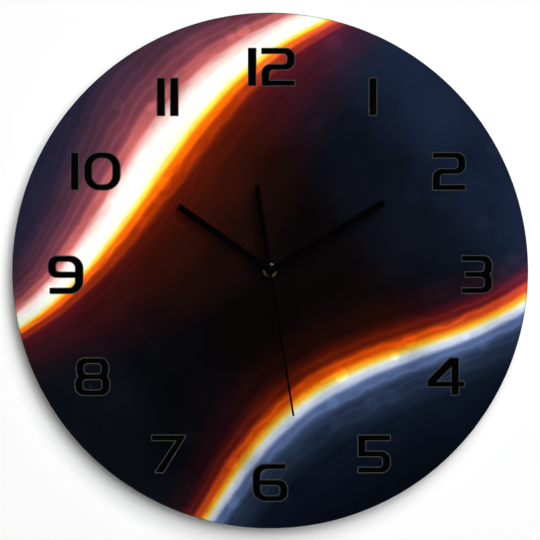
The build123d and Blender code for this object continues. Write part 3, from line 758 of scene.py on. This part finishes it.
def select(element: Element, test: Callable[..., bool]) -> None:
    """Select the elements of the edited mesh that pass a test, and no others.

    Args:
        element: Kind of element.
        test: Says whether a face or edge is selected.
    """
    bpy.ops.mesh.select_mode(type=element.name)
    bpy.ops.mesh.select_all(action="DESELECT")
    mesh = bpy.context.edit_object.data
    for part in getattr(bmesh.from_edit_mesh(mesh), element.value):
        part.select_set(test(part))
    bmesh.update_edit_mesh(mesh)


def modify(piece: Piece, kind: str, **settings: object) -> None:
    """Add a modifier to a piece and apply it.

    Args:
        piece: Mesh object to change.
        kind: Type of the modifier.
        settings: Attributes to set on it.
    """
    pick(piece)
    bpy.ops.object.modifier_add(type=kind)
    modifier = piece.modifiers[-1]
    for name, value in settings.items():
        setattr(modifier, name, value)
    bpy.ops.object.modifier_apply(modifier=modifier.name)


def turn(
    name: str,
    profile: Profile,
    centre: Vector = Vector(),
    axis: Vector = TO_VIEWER,
    outward: Vector = RIGHT,
    steps: int = 96,
    sweep: float = 360.0,
) -> Piece:
    """Spin a closed profile about an axis, as on a lathe.

    Args:
        name: Name of the new piece.
        profile: Distance from the axis and distance along it of each point, in millimetres.
        centre: Point on the axis, in metres.
        axis: Direction of the axis.
        outward: Direction across the axis in which the profile is drawn.
        steps: Facets round the axis.
        sweep: Degrees that the profile is swept through.

    Returns:
        New piece.
    """
    bpy.ops.object.select_all(action="DESELECT")
    bpy.ops.mesh.primitive_circle_add(vertices=len(profile))
    piece = bpy.context.object
    piece.name = name
    for vertex, (distance, height) in zip(piece.data.vertices, profile):
        vertex.co = centre + outward * (distance * MM) + axis * (height * MM)
    with editing(piece):
        bpy.ops.mesh.select_all(action="SELECT")
        bpy.ops.mesh.spin(steps=steps, angle=math.radians(sweep), center=centre, axis=axis)
        bpy.ops.mesh.select_all(action="SELECT")
        bpy.ops.mesh.remove_doubles(threshold=WELD)
        bpy.ops.mesh.dissolve_degenerate(threshold=WELD)
        bpy.ops.mesh.delete_loose()
        bpy.ops.mesh.select_all(action="SELECT")
        bpy.ops.mesh.fill_holes(sides=0)
        bpy.ops.mesh.select_all(action="SELECT")
        bpy.ops.mesh.normals_make_consistent(inside=False)
    return piece


def block(middle: Vector, size: Vector, radius: float) -> Piece:
    """Make a block with rounded upright corners, to cut a recess.

    Args:
        middle: Its middle, in millimetres.
        size: Its lengths, in millimetres.
        radius: Rounding of the corners that run from front to rear, in millimetres.

    Returns:
        New piece.
    """
    bpy.ops.object.select_all(action="DESELECT")
    bpy.ops.mesh.primitive_cube_add(size=1, location=middle * MM, scale=size * MM)
    piece = bpy.context.object
    bpy.ops.object.transform_apply(location=True, rotation=True, scale=True)
    with editing(piece):
        select(Element.EDGE, lambda edge: abs(edge.verts[0].co.y - edge.verts[1].co.y) > WELD)
        bpy.ops.mesh.bevel(offset=radius * MM, segments=3, affect="EDGES")
    return piece


def rod(radius: float, depth: float, place: Vector, facets: int, roll: float = 0.0) -> Piece:
    """Make a cylinder whose axis runs from front to rear.

    Args:
        radius: Its radius, in metres.
        depth: Its length, in metres.
        place: Its middle, in metres.
        facets: Facets round it.
        roll: Radians that it is turned about its axis.

    Returns:
        New piece.
    """
    bpy.ops.object.select_all(action="DESELECT")
    bpy.ops.mesh.primitive_cylinder_add(
        vertices=facets, radius=radius, depth=depth, location=place, rotation=(QUARTER, roll, 0.0)
    )
    bpy.ops.object.transform_apply(location=True, rotation=True, scale=True)
    return bpy.context.object


def fit(piece: Piece, finish: Finish, slot: Slot, body: Body, node: str) -> None:
    """Shade and dress a new piece, and put it on its body in place of its CAD node.

    Args:
        piece: Finished mesh.
        finish: Its finish.
        slot: Record slot of its finish; not used.
        body: Group that it moves with.
        node: CAD node that it stands for.
    """
    if not piece.data.materials:
        piece.data.materials.append(finish.material())
    pick(piece)
    bpy.ops.object.shade_smooth_by_angle(angle=SHARP_ANGLE)
    modify(piece, "WEIGHTED_NORMAL", keep_sharp=True, weight=100)
    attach(piece, body.value)
    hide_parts(node)
    LOG.info("%s: %d faces, moves with %s", piece.name, len(piece.data.polygons), body.value)


def round_over(
    node: str,
    name: str,
    radius: float,
    finish: Finish,
    slot: Slot,
    body: Body = Body.CLOCK,
    cutters: Sequence[Piece] = (),
) -> None:
    """slot: Record slot of its finish; passed on to fit, which doesn't use it.
        body: Group that it moves with.
        cutters: Closed meshes that are taken away from it and then deleted.
    """
    piece = bpy.data.objects.new(name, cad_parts[node].data.copy())
    bpy.context.scene.collection.objects.link(piece)
    piece.data.materials.clear()
    with editing(piece):
        bpy.ops.mesh.customdata_custom_splitnormals_clear()
        bpy.ops.mesh.select_all(action="SELECT")
        bpy.ops.mesh.remove_doubles(threshold=WELD)
        bpy.ops.mesh.dissolve_limited(angle_limit=FLAT_ANGLE)
        select(Element.EDGE, lambda edge: edge.is_manifold and edge.calc_face_angle() > SHARP_ANGLE)
        bpy.ops.mesh.bevel(offset=radius * MM, segments=2, affect="EDGES", clamp_overlap=True)
    for cutter in cutters:
        modify(piece, "BOOLEAN", operation="DIFFERENCE", solver="EXACT", object=cutter)
        bpy.data.objects.remove(cutter)
    fit(piece, finish, slot, body, node)


class Assembly:
    """Part of the clock that models its own pieces and dresses the CAD nodes shown as they are.

    Attributes:
        nodes: CAD nodes that are shown as they are, and their finishes.
    """

    nodes: dict[str, Finish] = {}

    def build(self) -> None:
        """Model the new pieces, where the assembly has any."""

    def dress(self) -> None:
        """Finish the CAD nodes that are shown as they are."""
        for node, finish in self.nodes.items():
            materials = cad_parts[node].data.materials
            materials.clear()
            materials.append(finish.material())
            LOG.info("%s: dressed in %s", node, finish.name)


@dataclass
class Dial(Assembly):
    """Glass disc with the picture and the numerals on its rear.

    Attributes:
        facets: Facets round the disc.
        bevel: Ground bevel of the rim and of the hole in millimetres.
        hole_radius: Radius of the hole in millimetres.
        film_gap: Air left between glass and print in millimetres, so that their faces stay apart.
        rim_slack: Distance from a radius within which an edge counts as on it, in millimetres.
        flat_slope: Slope towards the viewer over which a face counts as flat.
    """

    facets: int = 256
    bevel: float = 0.25
    hole_radius: float = 3.6
    film_gap: float = 0.02
    rim_slack: float = 0.05
    flat_slope: float = 0.9
    nodes = {"dial_print": PICTURE_INK, "dial_numerals": BLACK_INK, "numeral_borders": GREY_INK}

    def build(self) -> None:
        """Cut the disc, bore it and grind its edges."""
        low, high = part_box("glass_dial")
        radius = min(-low.x, high.x, -low.z, high.z)
        hole = self.hole_radius * MM
        back = high.y - self.film_gap * MM
        glass = rod(radius, back - low.y, Vector((0.0, (back + low.y) / 2, 0.0)), self.facets)
        glass.name = "glass_pane"
        with editing(glass):
            select(Element.FACE, lambda face: abs(face.normal.y) > self.flat_slope)
            bpy.ops.mesh.inset(thickness=radius - hole, use_individual=True)
            bpy.ops.mesh.bridge_edge_loops()
            for place in (radius, hole):
                select(Element.EDGE, lambda edge: self.on_rim(edge, place))
                bpy.ops.mesh.bevel(offset=self.bevel * MM, segments=2, affect="EDGES")
            bpy.ops.mesh.select_all(action="SELECT")
            bpy.ops.mesh.normals_make_consistent(inside=False)
        fit(glass, FLOAT_GLASS, Slot.GLASS, Body.CLOCK, "glass_dial")

    def on_rim(self, edge: bmesh.types.BMEdge, radius: float) -> bool:
        """Tell whether an edge of the disc is a sharp round edge at a radius in metres."""
        near = all(abs(math.hypot(v.co.x, v.co.z) - radius) < self.rim_slack * MM for v in edge.verts)
        return near and edge.calc_face_angle(0.0) > SHARP_ANGLE


@dataclass
class HandSet(Assembly):
    """Hour, minute and second hand with the collet and tube that hold them.

    Attributes:
        die_roll: Rounding that the stamping leaves on the hands' edges in millimetres.
        collet_round: Broken edge of the turned collet in millimetres.
    """

    die_roll: float = 0.1
    collet_round: float = 0.15
    nodes = {"second_hand_tube": TURNED_BRASS}

    def build(self) -> None:
        """Round the stamped edges of the hands and the turned edges of the collet."""
        hands = {"hour_hand": Body.HOURS, "minute_hand": Body.MINUTES, "second_hand": Body.SECONDS}
        for node, body in hands.items():
            round_over(node, f"{node}_stamping", self.die_roll, MATT_LACQUER, Slot.HAND_PAINT, body)
        name = "hour_collet_turning"
        round_over("hour_hand_collet", name, self.collet_round, TURNED_BRASS, Slot.BRASS, Body.HOURS)


@dataclass
class CentreFixing(Assembly):
    """Threaded bushing with the gasket, washer and ring nut that hold the glass.

    Attributes:
        bore: Radius of the bushing's bore in millimetres.
        crest: Radius of the thread's crests in millimetres.
        thread_depth: Depth of the thread in millimetres.
        pitch: Pitch of the thread in millimetres.
        groove: Shares of the pitch at which a groove reaches its root, leaves it and ends.
        shank: Plain length past the flange in millimetres.
        flange: Thickness of the flange in millimetres.
        edge_round: Broken edges of nut and washer in millimetres.
        gasket_round: Rounding of the gasket in millimetres.
    """

    bore: float = 2.35
    crest: float = 3.3
    thread_depth: float = 0.22
    pitch: float = 0.5
    groove: tuple[float, float, float] = (0.45, 0.55, 0.95)
    shank: float = 1.5
    flange: float = 0.8
    edge_round: float = 0.1
    gasket_round: float = 0.2

    def build(self) -> None:
        """Turn the bushing and break the edges of the pieces on it."""
        bushing = turn("threaded_bushing", self.profile())
        fit(bushing, TURNED_BRASS, Slot.BRASS, Body.CLOCK, "bushing")
        round_over("ring_nut", "slotted_ring_nut", self.edge_round, TURNED_BRASS, Slot.BRASS)
        round_over("nut_washer", "steel_washer", self.edge_round, BLACKENED_STEEL, Slot.BLACK_METAL)
        round_over("dial_gasket", "rubber_gasket", self.gasket_round, CHLOROPRENE, Slot.RUBBER)

    def profile(self) -> Profile:
        """Draw half of the bushing's long section, with the grooves of its thread.

        Returns:
            Distance from the axis and from the wall of each point in millimetres.
        """
        low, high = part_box("bushing")
        flange_radius = (high.x - low.x) / 2 / MM
        back = -high.y / MM
        front = -low.y / MM
        profile = [(self.bore, front), (self.bore, back), (flange_radius, back)]
        profile += [(flange_radius, back + self.flange), (self.crest, back + self.flange)]
        height = back + self.flange + self.shank
        root = self.crest - self.thread_depth
        down, up, end = (share * self.pitch for share in self.groove)
        while height + self.pitch < front:
            profile += [(self.crest, height), (root, height + down)]
            profile += [(root, height + up), (self.crest, height + end)]
            height += self.pitch
        return profile + [(self.crest, height), (root, front)]


@dataclass
class MovementCase(Assembly):
    """Moulded case, its rear cover with sunk marks, and the knob that sets the hands.

    Attributes:
        case_round: Rounding of the case's edges in millimetres.
        cover_round: Rounding of the cover's and the knob's edges in millimetres.
        mark_depth: Depth of the sunk marks in millimetres.
        mark_size: Length of the strokes of the battery's plus and minus marks in millimetres.
        mark_width: Width of every stroke in millimetres.
        mark_round: Rounding of the strokes' corners in millimetres.
        mark_inset: Distance of the battery marks from the cover's edges in millimetres.
        arrow_gap: Distance of the turning arrow from the knob's rim in millimetres.
        arrow_sweep: Degrees that the turning arrow runs through.
        arrow_head: Radius of the arrow's head against the width of its stroke.
        arrow_steps: Facets along the arrow.
        panel_size: Width and height of the sunk blank panel in millimetres.
        panel_place: Middle of that panel, sideways and upright, in millimetres.
        panel_round: Rounding of the panel's corners in millimetres.
        latch_size: Lengths of the sunk latch windows in the case's top in millimetres.
        latch_place: Distance of the latch windows from the middle in millimetres.
        latch_depth: Distance of the latch windows from the wall in millimetres.
        latch_round: Rounding of the windows' corners in millimetres.
    """

    case_round: float = 0.3
    cover_round: float = 0.15
    mark_depth: float = 0.3
    mark_size: float = 4.2
    mark_width: float = 0.9
    mark_round: float = 0.2
    mark_inset: float = 5.0
    arrow_gap: float = 2.2
    arrow_sweep: float = 115.0
    arrow_head: float = 1.3
    arrow_steps: int = 32
    panel_size: tuple[float, float] = (25.0, 12.0)
    panel_place: tuple[float, float] = (8.0, 14.0)
    panel_round: float = 1.0
    latch_size: tuple[float, float, float] = (8.0, 1.4, 0.8)
    latch_place: float = 15.0
    latch_depth: float = 3.0
    latch_round: float = 0.3

    def build(self) -> None:
        """Round the mouldings and sink their marks."""
        plastic = Slot.BLACK_PLASTIC
        windows = self.latch_windows()
        round_over("case_front", "moulded_case", self.case_round, BLACK_ABS, plastic, cutters=windows)
        marks = [*self.battery_marks(), *self.turning_arrow(), self.panel()]
        round_over("back_cover", "moulded_cover", self.cover_round, BLACK_ABS, plastic, cutters=marks)
        round_over("setting_knob", "moulded_knob", self.cover_round, POLISHED_ABS, plastic, Body.SETTING)

    def latch_windows(self) -> list[Piece]:
        """Make the cutters of the latch windows.

        Returns:
            Blocks at the top of the case.
        """
        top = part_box("case_front")[1].z / MM
        size = Vector(self.latch_size)
        middles = [Vector((x, -self.latch_depth, top)) for x in (-self.latch_place, self.latch_place)]
        return [block(middle, size, self.latch_round) for middle in middles]

    def battery_marks(self) -> list[Piece]:
        """Make the cutters of the plus and minus marks over the cell's ends.

        Returns:
            Blocks through the cover's rear face.
        """
        low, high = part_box("back_cover")
        level = low.z / MM + self.mark_inset
        right = high.x / MM - self.mark_inset
        left = low.x / MM + self.mark_inset
        across = Vector((self.mark_size, 2 * self.mark_depth, self.mark_width))
        upright = Vector((self.mark_width, 2 * self.mark_depth, self.mark_size))
        strokes = ((right, across), (right, upright), (left, across))
        return [block(Vector((x, 0.0, level)), size, self.mark_round) for x, size in strokes]

    def turning_arrow(self) -> list[Piece]:
        """Make the cutters of the arrow beside the knob.

        Returns:
            A curved bar and a three-sided head.
        """
        low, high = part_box("setting_knob")
        middle = Vector(((low.x + high.x) / 2, 0.0, (low.z + high.z) / 2))
        reach = (high.x - low.x) / 2 / MM + self.arrow_gap
        deep = self.mark_depth
        inner = reach - self.mark_width / 2
        outer = reach + self.mark_width / 2
        profile = [(inner, -deep), (outer, -deep), (outer, deep), (inner, deep)]
        sweep = self.arrow_sweep
        bar = turn("arrow_bar", profile, middle, outward=UP, steps=self.arrow_steps, sweep=sweep)
        end = math.radians(sweep)
        tip = middle + Vector((math.sin(end), 0.0, math.cos(end))) * (reach * MM)
        head = rod(self.arrow_head * self.mark_width * MM, 2 * deep * MM, tip, 3, end + QUARTER)
        return [bar, head]

    def panel(self) -> Piece:
        """Make the cutter of the blank panel.

        Returns:
            Block through the cover's rear face.
        """
        width, height = self.panel_size
        x, z = self.panel_place
        size = Vector((width, 2 * self.mark_depth, height))
        return block(Vector((x, 0.0, z)), size, self.panel_round)


class GoingTrain(Assembly):
    """Wheels from the rotor to the hands, between their plates."""

    wheels = ("rotor_pinion", "intermediate_wheel", "seconds_wheel", "third_wheel", "centre_wheel")
    setting = ("minute_arbor", "motion_wheel", "hour_wheel", "setting_gear")
    nodes = {
        "mid_plate": PLATE_PLASTIC,
        "train_bridge": PLATE_PLASTIC,
        "seconds_arbor": GROUND_STEEL,
        **dict.fromkeys(wheels + setting, NATURAL_ACETAL),
    }


class StepMotor(Assembly):
    """Coil, iron circuit and magnet that turn the rotor once a second by half a turn."""

    nodes = {
        "coil_bobbin": PLATE_PLASTIC,
        "coil_winding": COPPER_WIRE,
        "coil_core": ZINC_SHEET,
        "stator": ZINC_SHEET,
        "rotor_magnet": FERRITE,
    }


class Electronics(Assembly):
    """Circuit board with its covered chip and its crystal."""

    nodes = {"circuit_board": SOLDER_MASK, "chip_cover": BLACK_EPOXY, "crystal": NICKEL_STRIP}


@dataclass
class PowerCell(Assembly):
    """Round dry cell in its printed film, with drawn steel ends, between two contact strips.

    Attributes:
        film_lip: Width of the film that is shrunk over each end in millimetres.
        film_sink: Depths of the film's edge under the flat end and the shoulder in millimetres.
        film_step: Width of the step from the film to steel or fibre in millimetres.
        film_foot: Rolled foot of the film, each point in from the side and up from the flat end.
        film_head: Rolled head of the film, each point in from the side and down from the shoulder.
        end_sink: Depth of the sunk middle of the flat end in millimetres.
        end_ring: Shares of the radius at which the flat end rises and is level.
        nub_radius: Radius of the positive nub in millimetres.
        nub_height: Height of the positive nub in millimetres.
        nub_foot: Width and height of the slope at the nub's foot in millimetres.
        nub_chamfer: Broken edge of the nub in millimetres.
        cap_wall: Shares of the radius at the foot and the head of the steel cap's wall.
        cap_sink: Depth of that wall's head under the shoulder in millimetres.
        fibre_depth: Depth of the fibre ring under the shoulder in millimetres.
        fibre_inner: Share of the radius past which a sunk face is of fibre.
        fibre_sink: Depth under the shoulder within which faces are of fibre, in millimetres.
    """

    film_lip: float = 0.75
    film_sink: tuple[float, float] = (0.12, 0.05)
    film_step: float = 0.1
    film_foot: tuple[tuple[float, float], ...] = ((0.2, 0.25), (0.05, 0.45), (0.0, 0.8))
    film_head: tuple[tuple[float, float], ...] = ((0.0, 0.9), (0.07, 0.5), (0.25, 0.22))
    end_sink: float = 0.3
    end_ring: tuple[float, float] = (0.72, 0.77)
    nub_radius: float = 2.75
    nub_height: float = 1.0
    nub_foot: tuple[float, float] = (0.4, 0.2)
    nub_chamfer: float = 0.3
    cap_wall: tuple[float, float] = (0.62, 0.6)
    cap_sink: float = 0.1
    fibre_depth: float = 0.3
    fibre_inner: float = 0.61
    fibre_sink: float = 0.5
    nodes = {"battery_contact_positive": NICKEL_STRIP, "battery_contact_negative": NICKEL_STRIP}

    def build(self) -> None:
        """Turn the cell and part its film from its ends."""
        low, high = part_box("battery")
        radius = (high.z - low.z) / 2 / MM
        shoulder = (high.x - low.x) / MM - self.nub_height
        centre = Vector((low.x, (low.y + high.y) / 2, (low.z + high.z) / 2))
        cell = turn("dry_cell", self.profile(radius, shoulder), centre, RIGHT, UP)
        finishes = (CELL_FILM, CELL_STEEL, CELL_FIBRE)
        for finish in finishes:
            cell.data.materials.append(finish.material())
        for face in cell.data.polygons:
            away = (face.center - centre) / MM
            reach = math.hypot(away.y, away.z)
            if reach < radius - self.film_lip:
                fibre = self.fibre_inner * radius < reach and away.x > shoulder - self.fibre_sink
                face.material_index = finishes.index(CELL_FIBRE if fibre else CELL_STEEL)
        fit(cell, CELL_FILM, Slot.BATTERY_JACKET, Body.CELL, "battery")

    def profile(self, radius: float, shoulder: float) -> Profile:
        """Draw half of the cell's long section.

        Args:
            radius: Radius of the cell in millimetres.
            shoulder: Distance of the nub's foot from the flat end in millimetres.

        Returns:
            Distance from the axis and from the flat end of each point in millimetres.
        """
        lip = radius - self.film_lip
        rim = lip - self.film_step
        nub = self.nub_radius
        top = shoulder + self.nub_height
        level = shoulder - self.fibre_depth
        foot_sink, head_sink = self.film_sink
        rise, ring = (share * radius for share in self.end_ring)
        wall_foot, wall_head = (share * radius for share in self.cap_wall)
        width, height = self.nub_foot
        flat_end = [(0.0, self.end_sink), (rise, self.end_sink), (ring, 0.0), (rim, 0.0)]
        foot = [(radius - inset, up) for inset, up in self.film_foot]
        head = [(radius - inset, shoulder - down) for inset, down in self.film_head]
        film = [(lip, foot_sink), *foot, *head, (lip, shoulder - head_sink)]
        fibre = [(rim, level), (wall_foot, level)]
        cap = [(wall_head, shoulder - self.cap_sink), (nub + width, shoulder), (nub, shoulder + height)]
        tip = [(nub, top - self.nub_chamfer), (nub - self.nub_chamfer, top), (0.0, top)]
        return flat_end + film + fibre + cap + tip


@dataclass
class Hanger(Assembly):
    """Bent sheet strap that hangs the clock from a screw.

    Attributes:
        edge_round: Rounding of the pressed edges in millimetres.
    """

    edge_round: float = 0.12

    def build(self) -> None:
        """Round the pressed edges of the strap."""
        round_over("hanger", "pressed_hanger", self.edge_round, ZINC_SHEET, Slot.ZINC_STEEL)


@dataclass(frozen=True)
class Lamp:
    """Round soft lamp of the studio.

    Attributes:
        name: What it is for.
        place: Where it hangs, in metres.
        diameter: Size of its disc, in metres.
        power: Watts.
        shines_in_glass: Whether its own image shows in glass and polished metal.
    """

    name: str
    place: tuple[float, float, float]
    diameter: float
    power: float
    shines_in_glass: bool = True

    def hang(self) -> None:
        """Hang the lamp and aim it at the middle of the dial."""
        bpy.ops.object.light_add(type="AREA", location=self.place)
        lamp = bpy.context.object
        lamp.name = self.name
        lamp.data.shape = "DISK"
        lamp.data.size = self.diameter
        lamp.data.energy = self.power
        lamp.rotation_euler = (-Vector(self.place)).to_track_quat("-Z", "Y").to_euler()
        lamp.visible_camera = False
        lamp.visible_glossy = self.shines_in_glass
        lamp.visible_transmission = self.shines_in_glass


@dataclass
class Studio:
    """White wall, pale floor, soft lamps and the camera.

    Attributes:
        pixel: Size of one photograph pixel on the glass in millimetres.
        offset: How far right and down the dial sits from the middle of the photograph, in pixels.
        distance: Camera's distance from the glass in metres.
        sight: Distance that the camera sees in metres.
        wall_gap: Distance of the wall behind the clock in millimetres.
        wall_size: Side of the wall in metres.
        wall_shade: Colour of the wall and of the room.
        floor_size: Side of the floor in metres, so that its far edge stays out of sight.
        floor_shade: Colour of the floor.
        floor_drop: Height of the hand axis over the floor in metres.
        room_turn: Backward slope of a ray at which the dim room starts to brighten, and is brightest.
        room_light: Light of the room behind the camera and behind the clock.
        lamps: Lamps to hang.
    """

    pixel: float = 0.5814
    offset: tuple[float, float] = (0.2, 0.5)
    distance: float = 3.0
    sight: float = 50.0
    wall_gap: float = 3.0
    wall_size: float = 12.0
    wall_shade: str = "#ffffff"
    floor_size: float = 60.0
    floor_shade: str = "#fbfbfa"
    floor_drop: float = 1.6
    room_turn: tuple[float, float] = (-0.1, 0.5)
    room_light: tuple[float, float] = (0.006, 0.8)
    lamps: tuple[Lamp, ...] = (
        Lamp("key_lamp", (0.78, -6.0, 0.78), 2.75, 262.0, shines_in_glass=False),
        Lamp("top_lamp", (1.26, -5.4, 2.85), 2.7, 142.0),
        Lamp("rear_lamp", (-1.2, 1.8, 1.4), 1.2, 24.0),
    )

    def build(self) -> None:
        """Set up the wall, floor, lamps, world and camera."""
        self.raise_wall()
        self.lay_floor()
        for lamp in self.lamps:
            lamp.hang()
        self.light_world()
        self.place_camera()

    def raise_wall(self) -> None:
        """Put up the wall, which shows from its front side alone."""
        place = (0.0, self.wall_gap * MM, 0.0)
        bpy.ops.object.select_all(action="DESELECT")
        bpy.ops.mesh.primitive_plane_add(size=self.wall_size, location=place, rotation=(QUARTER, 0.0, 0.0))
        wall = bpy.context.object
        wall.name = "studio_wall"
        wall.data.materials.append(paint("matt_wall_paint", self.wire_wall))

    def wire_wall(self, add: Adder) -> Node:
        """Wire matt wall paint that lets light from behind reach the clock's rear.

        Args:
            add: Adds a node to the material.

        Returns:
            Shader node.
        """
        path = add("LightPath").outputs
        bounces = add(
            "Math",
            {0: path["Diffuse Depth"], 1: path["Is Diffuse Ray"]},
            operation="SUBTRACT",
            use_clamp=True,
        )
        solid = add("Math", {0: path["Is Camera Ray"], 1: bounces}, operation="MAXIMUM")
        behind = add("NewGeometry").outputs["Backfacing"]
        front = add("Math", {0: solid, 1: behind}, operation="SUBTRACT", use_clamp=True)
        matt = add("BsdfDiffuse", {"Color": linear(self.wall_shade)})
        return add("MixShader", {0: front, 1: add("BsdfTransparent"), 2: matt})

    def lay_floor(self) -> None:
        """Lay an evenly pale floor that the camera alone sees, so that the glass shows no haze of it."""
        bpy.ops.object.select_all(action="DESELECT")
        bpy.ops.mesh.primitive_plane_add(size=self.floor_size, location=(0.0, 0.0, -self.floor_drop))
        floor = bpy.context.object
        floor.name = "studio_floor"
        pale = {"Color": linear(self.floor_shade)}
        coat = paint("pale_floor_paint", lambda add: add("Emission", pale))
        coat.cycles.emission_sampling = "NONE"
        floor.data.materials.append(coat)
        floor.visible_diffuse = False
        floor.visible_glossy = False
        floor.visible_transmission = False
        floor.visible_shadow = False

    def light_world(self) -> None:
        """Make a white room behind the clock and a dim one behind the camera."""
        world = bpy.data.worlds.new("studio_world")
        bpy.context.scene.world = world
        add = start_tree(world)
        back = add("SeparateXYZ", {0: add("TexCoord").outputs["Generated"]}).outputs["Y"]
        start, full = self.room_turn
        dim, bright = self.room_light
        room = add(
            "MapRange",
            {"Value": back, "From Min": start, "From Max": full, "To Min": dim, "To Max": bright},
            interpolation_type="SMOOTHSTEP",
        )
        seen = add("LightPath").outputs["Is Camera Ray"]
        level = add("Math", {0: room, 1: seen}, operation="MAXIMUM")
        sky = add("Background", {"Color": linear(self.wall_shade), "Strength": level})
        add("OutputWorld", {"Surface": sky})

    def place_camera(self) -> None:
        """Set the camera square to the dial, framed as the photograph is."""
        low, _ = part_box("glass_dial")
        place = (0.0, low.y - self.distance, 0.0)
        bpy.ops.object.camera_add(location=place, rotation=(QUARTER, 0.0, 0.0))
        camera = bpy.context.object
        width = IMAGE_SIDE * self.pixel * MM
        camera.data.lens = camera.data.sensor_width * self.distance / width
        camera.data.shift_x = -self.offset[0] / IMAGE_SIDE
        camera.data.shift_y = self.offset[1] / IMAGE_SIDE
        camera.data.clip_end = self.sight
        bpy.context.scene.camera = camera


def main() -> None:
    """Build and dress the clock, then the studio round it."""
    logging.basicConfig(level=logging.INFO, format="%(name)s: %(message)s")
    bpy.context.scene.view_settings.view_transform = "Standard"
    assemblies = (
        Dial(),
        HandSet(),
        CentreFixing(),
        MovementCase(),
        GoingTrain(),
        StepMotor(),
        Electronics(),
        PowerCell(),
        Hanger(),
    )
    for assembly in assemblies:
        LOG.info("Assembly %s", type(assembly).__name__)
        assembly.build()
        assembly.dress()
    Studio().build()


if __name__ == "__main__":
    main()
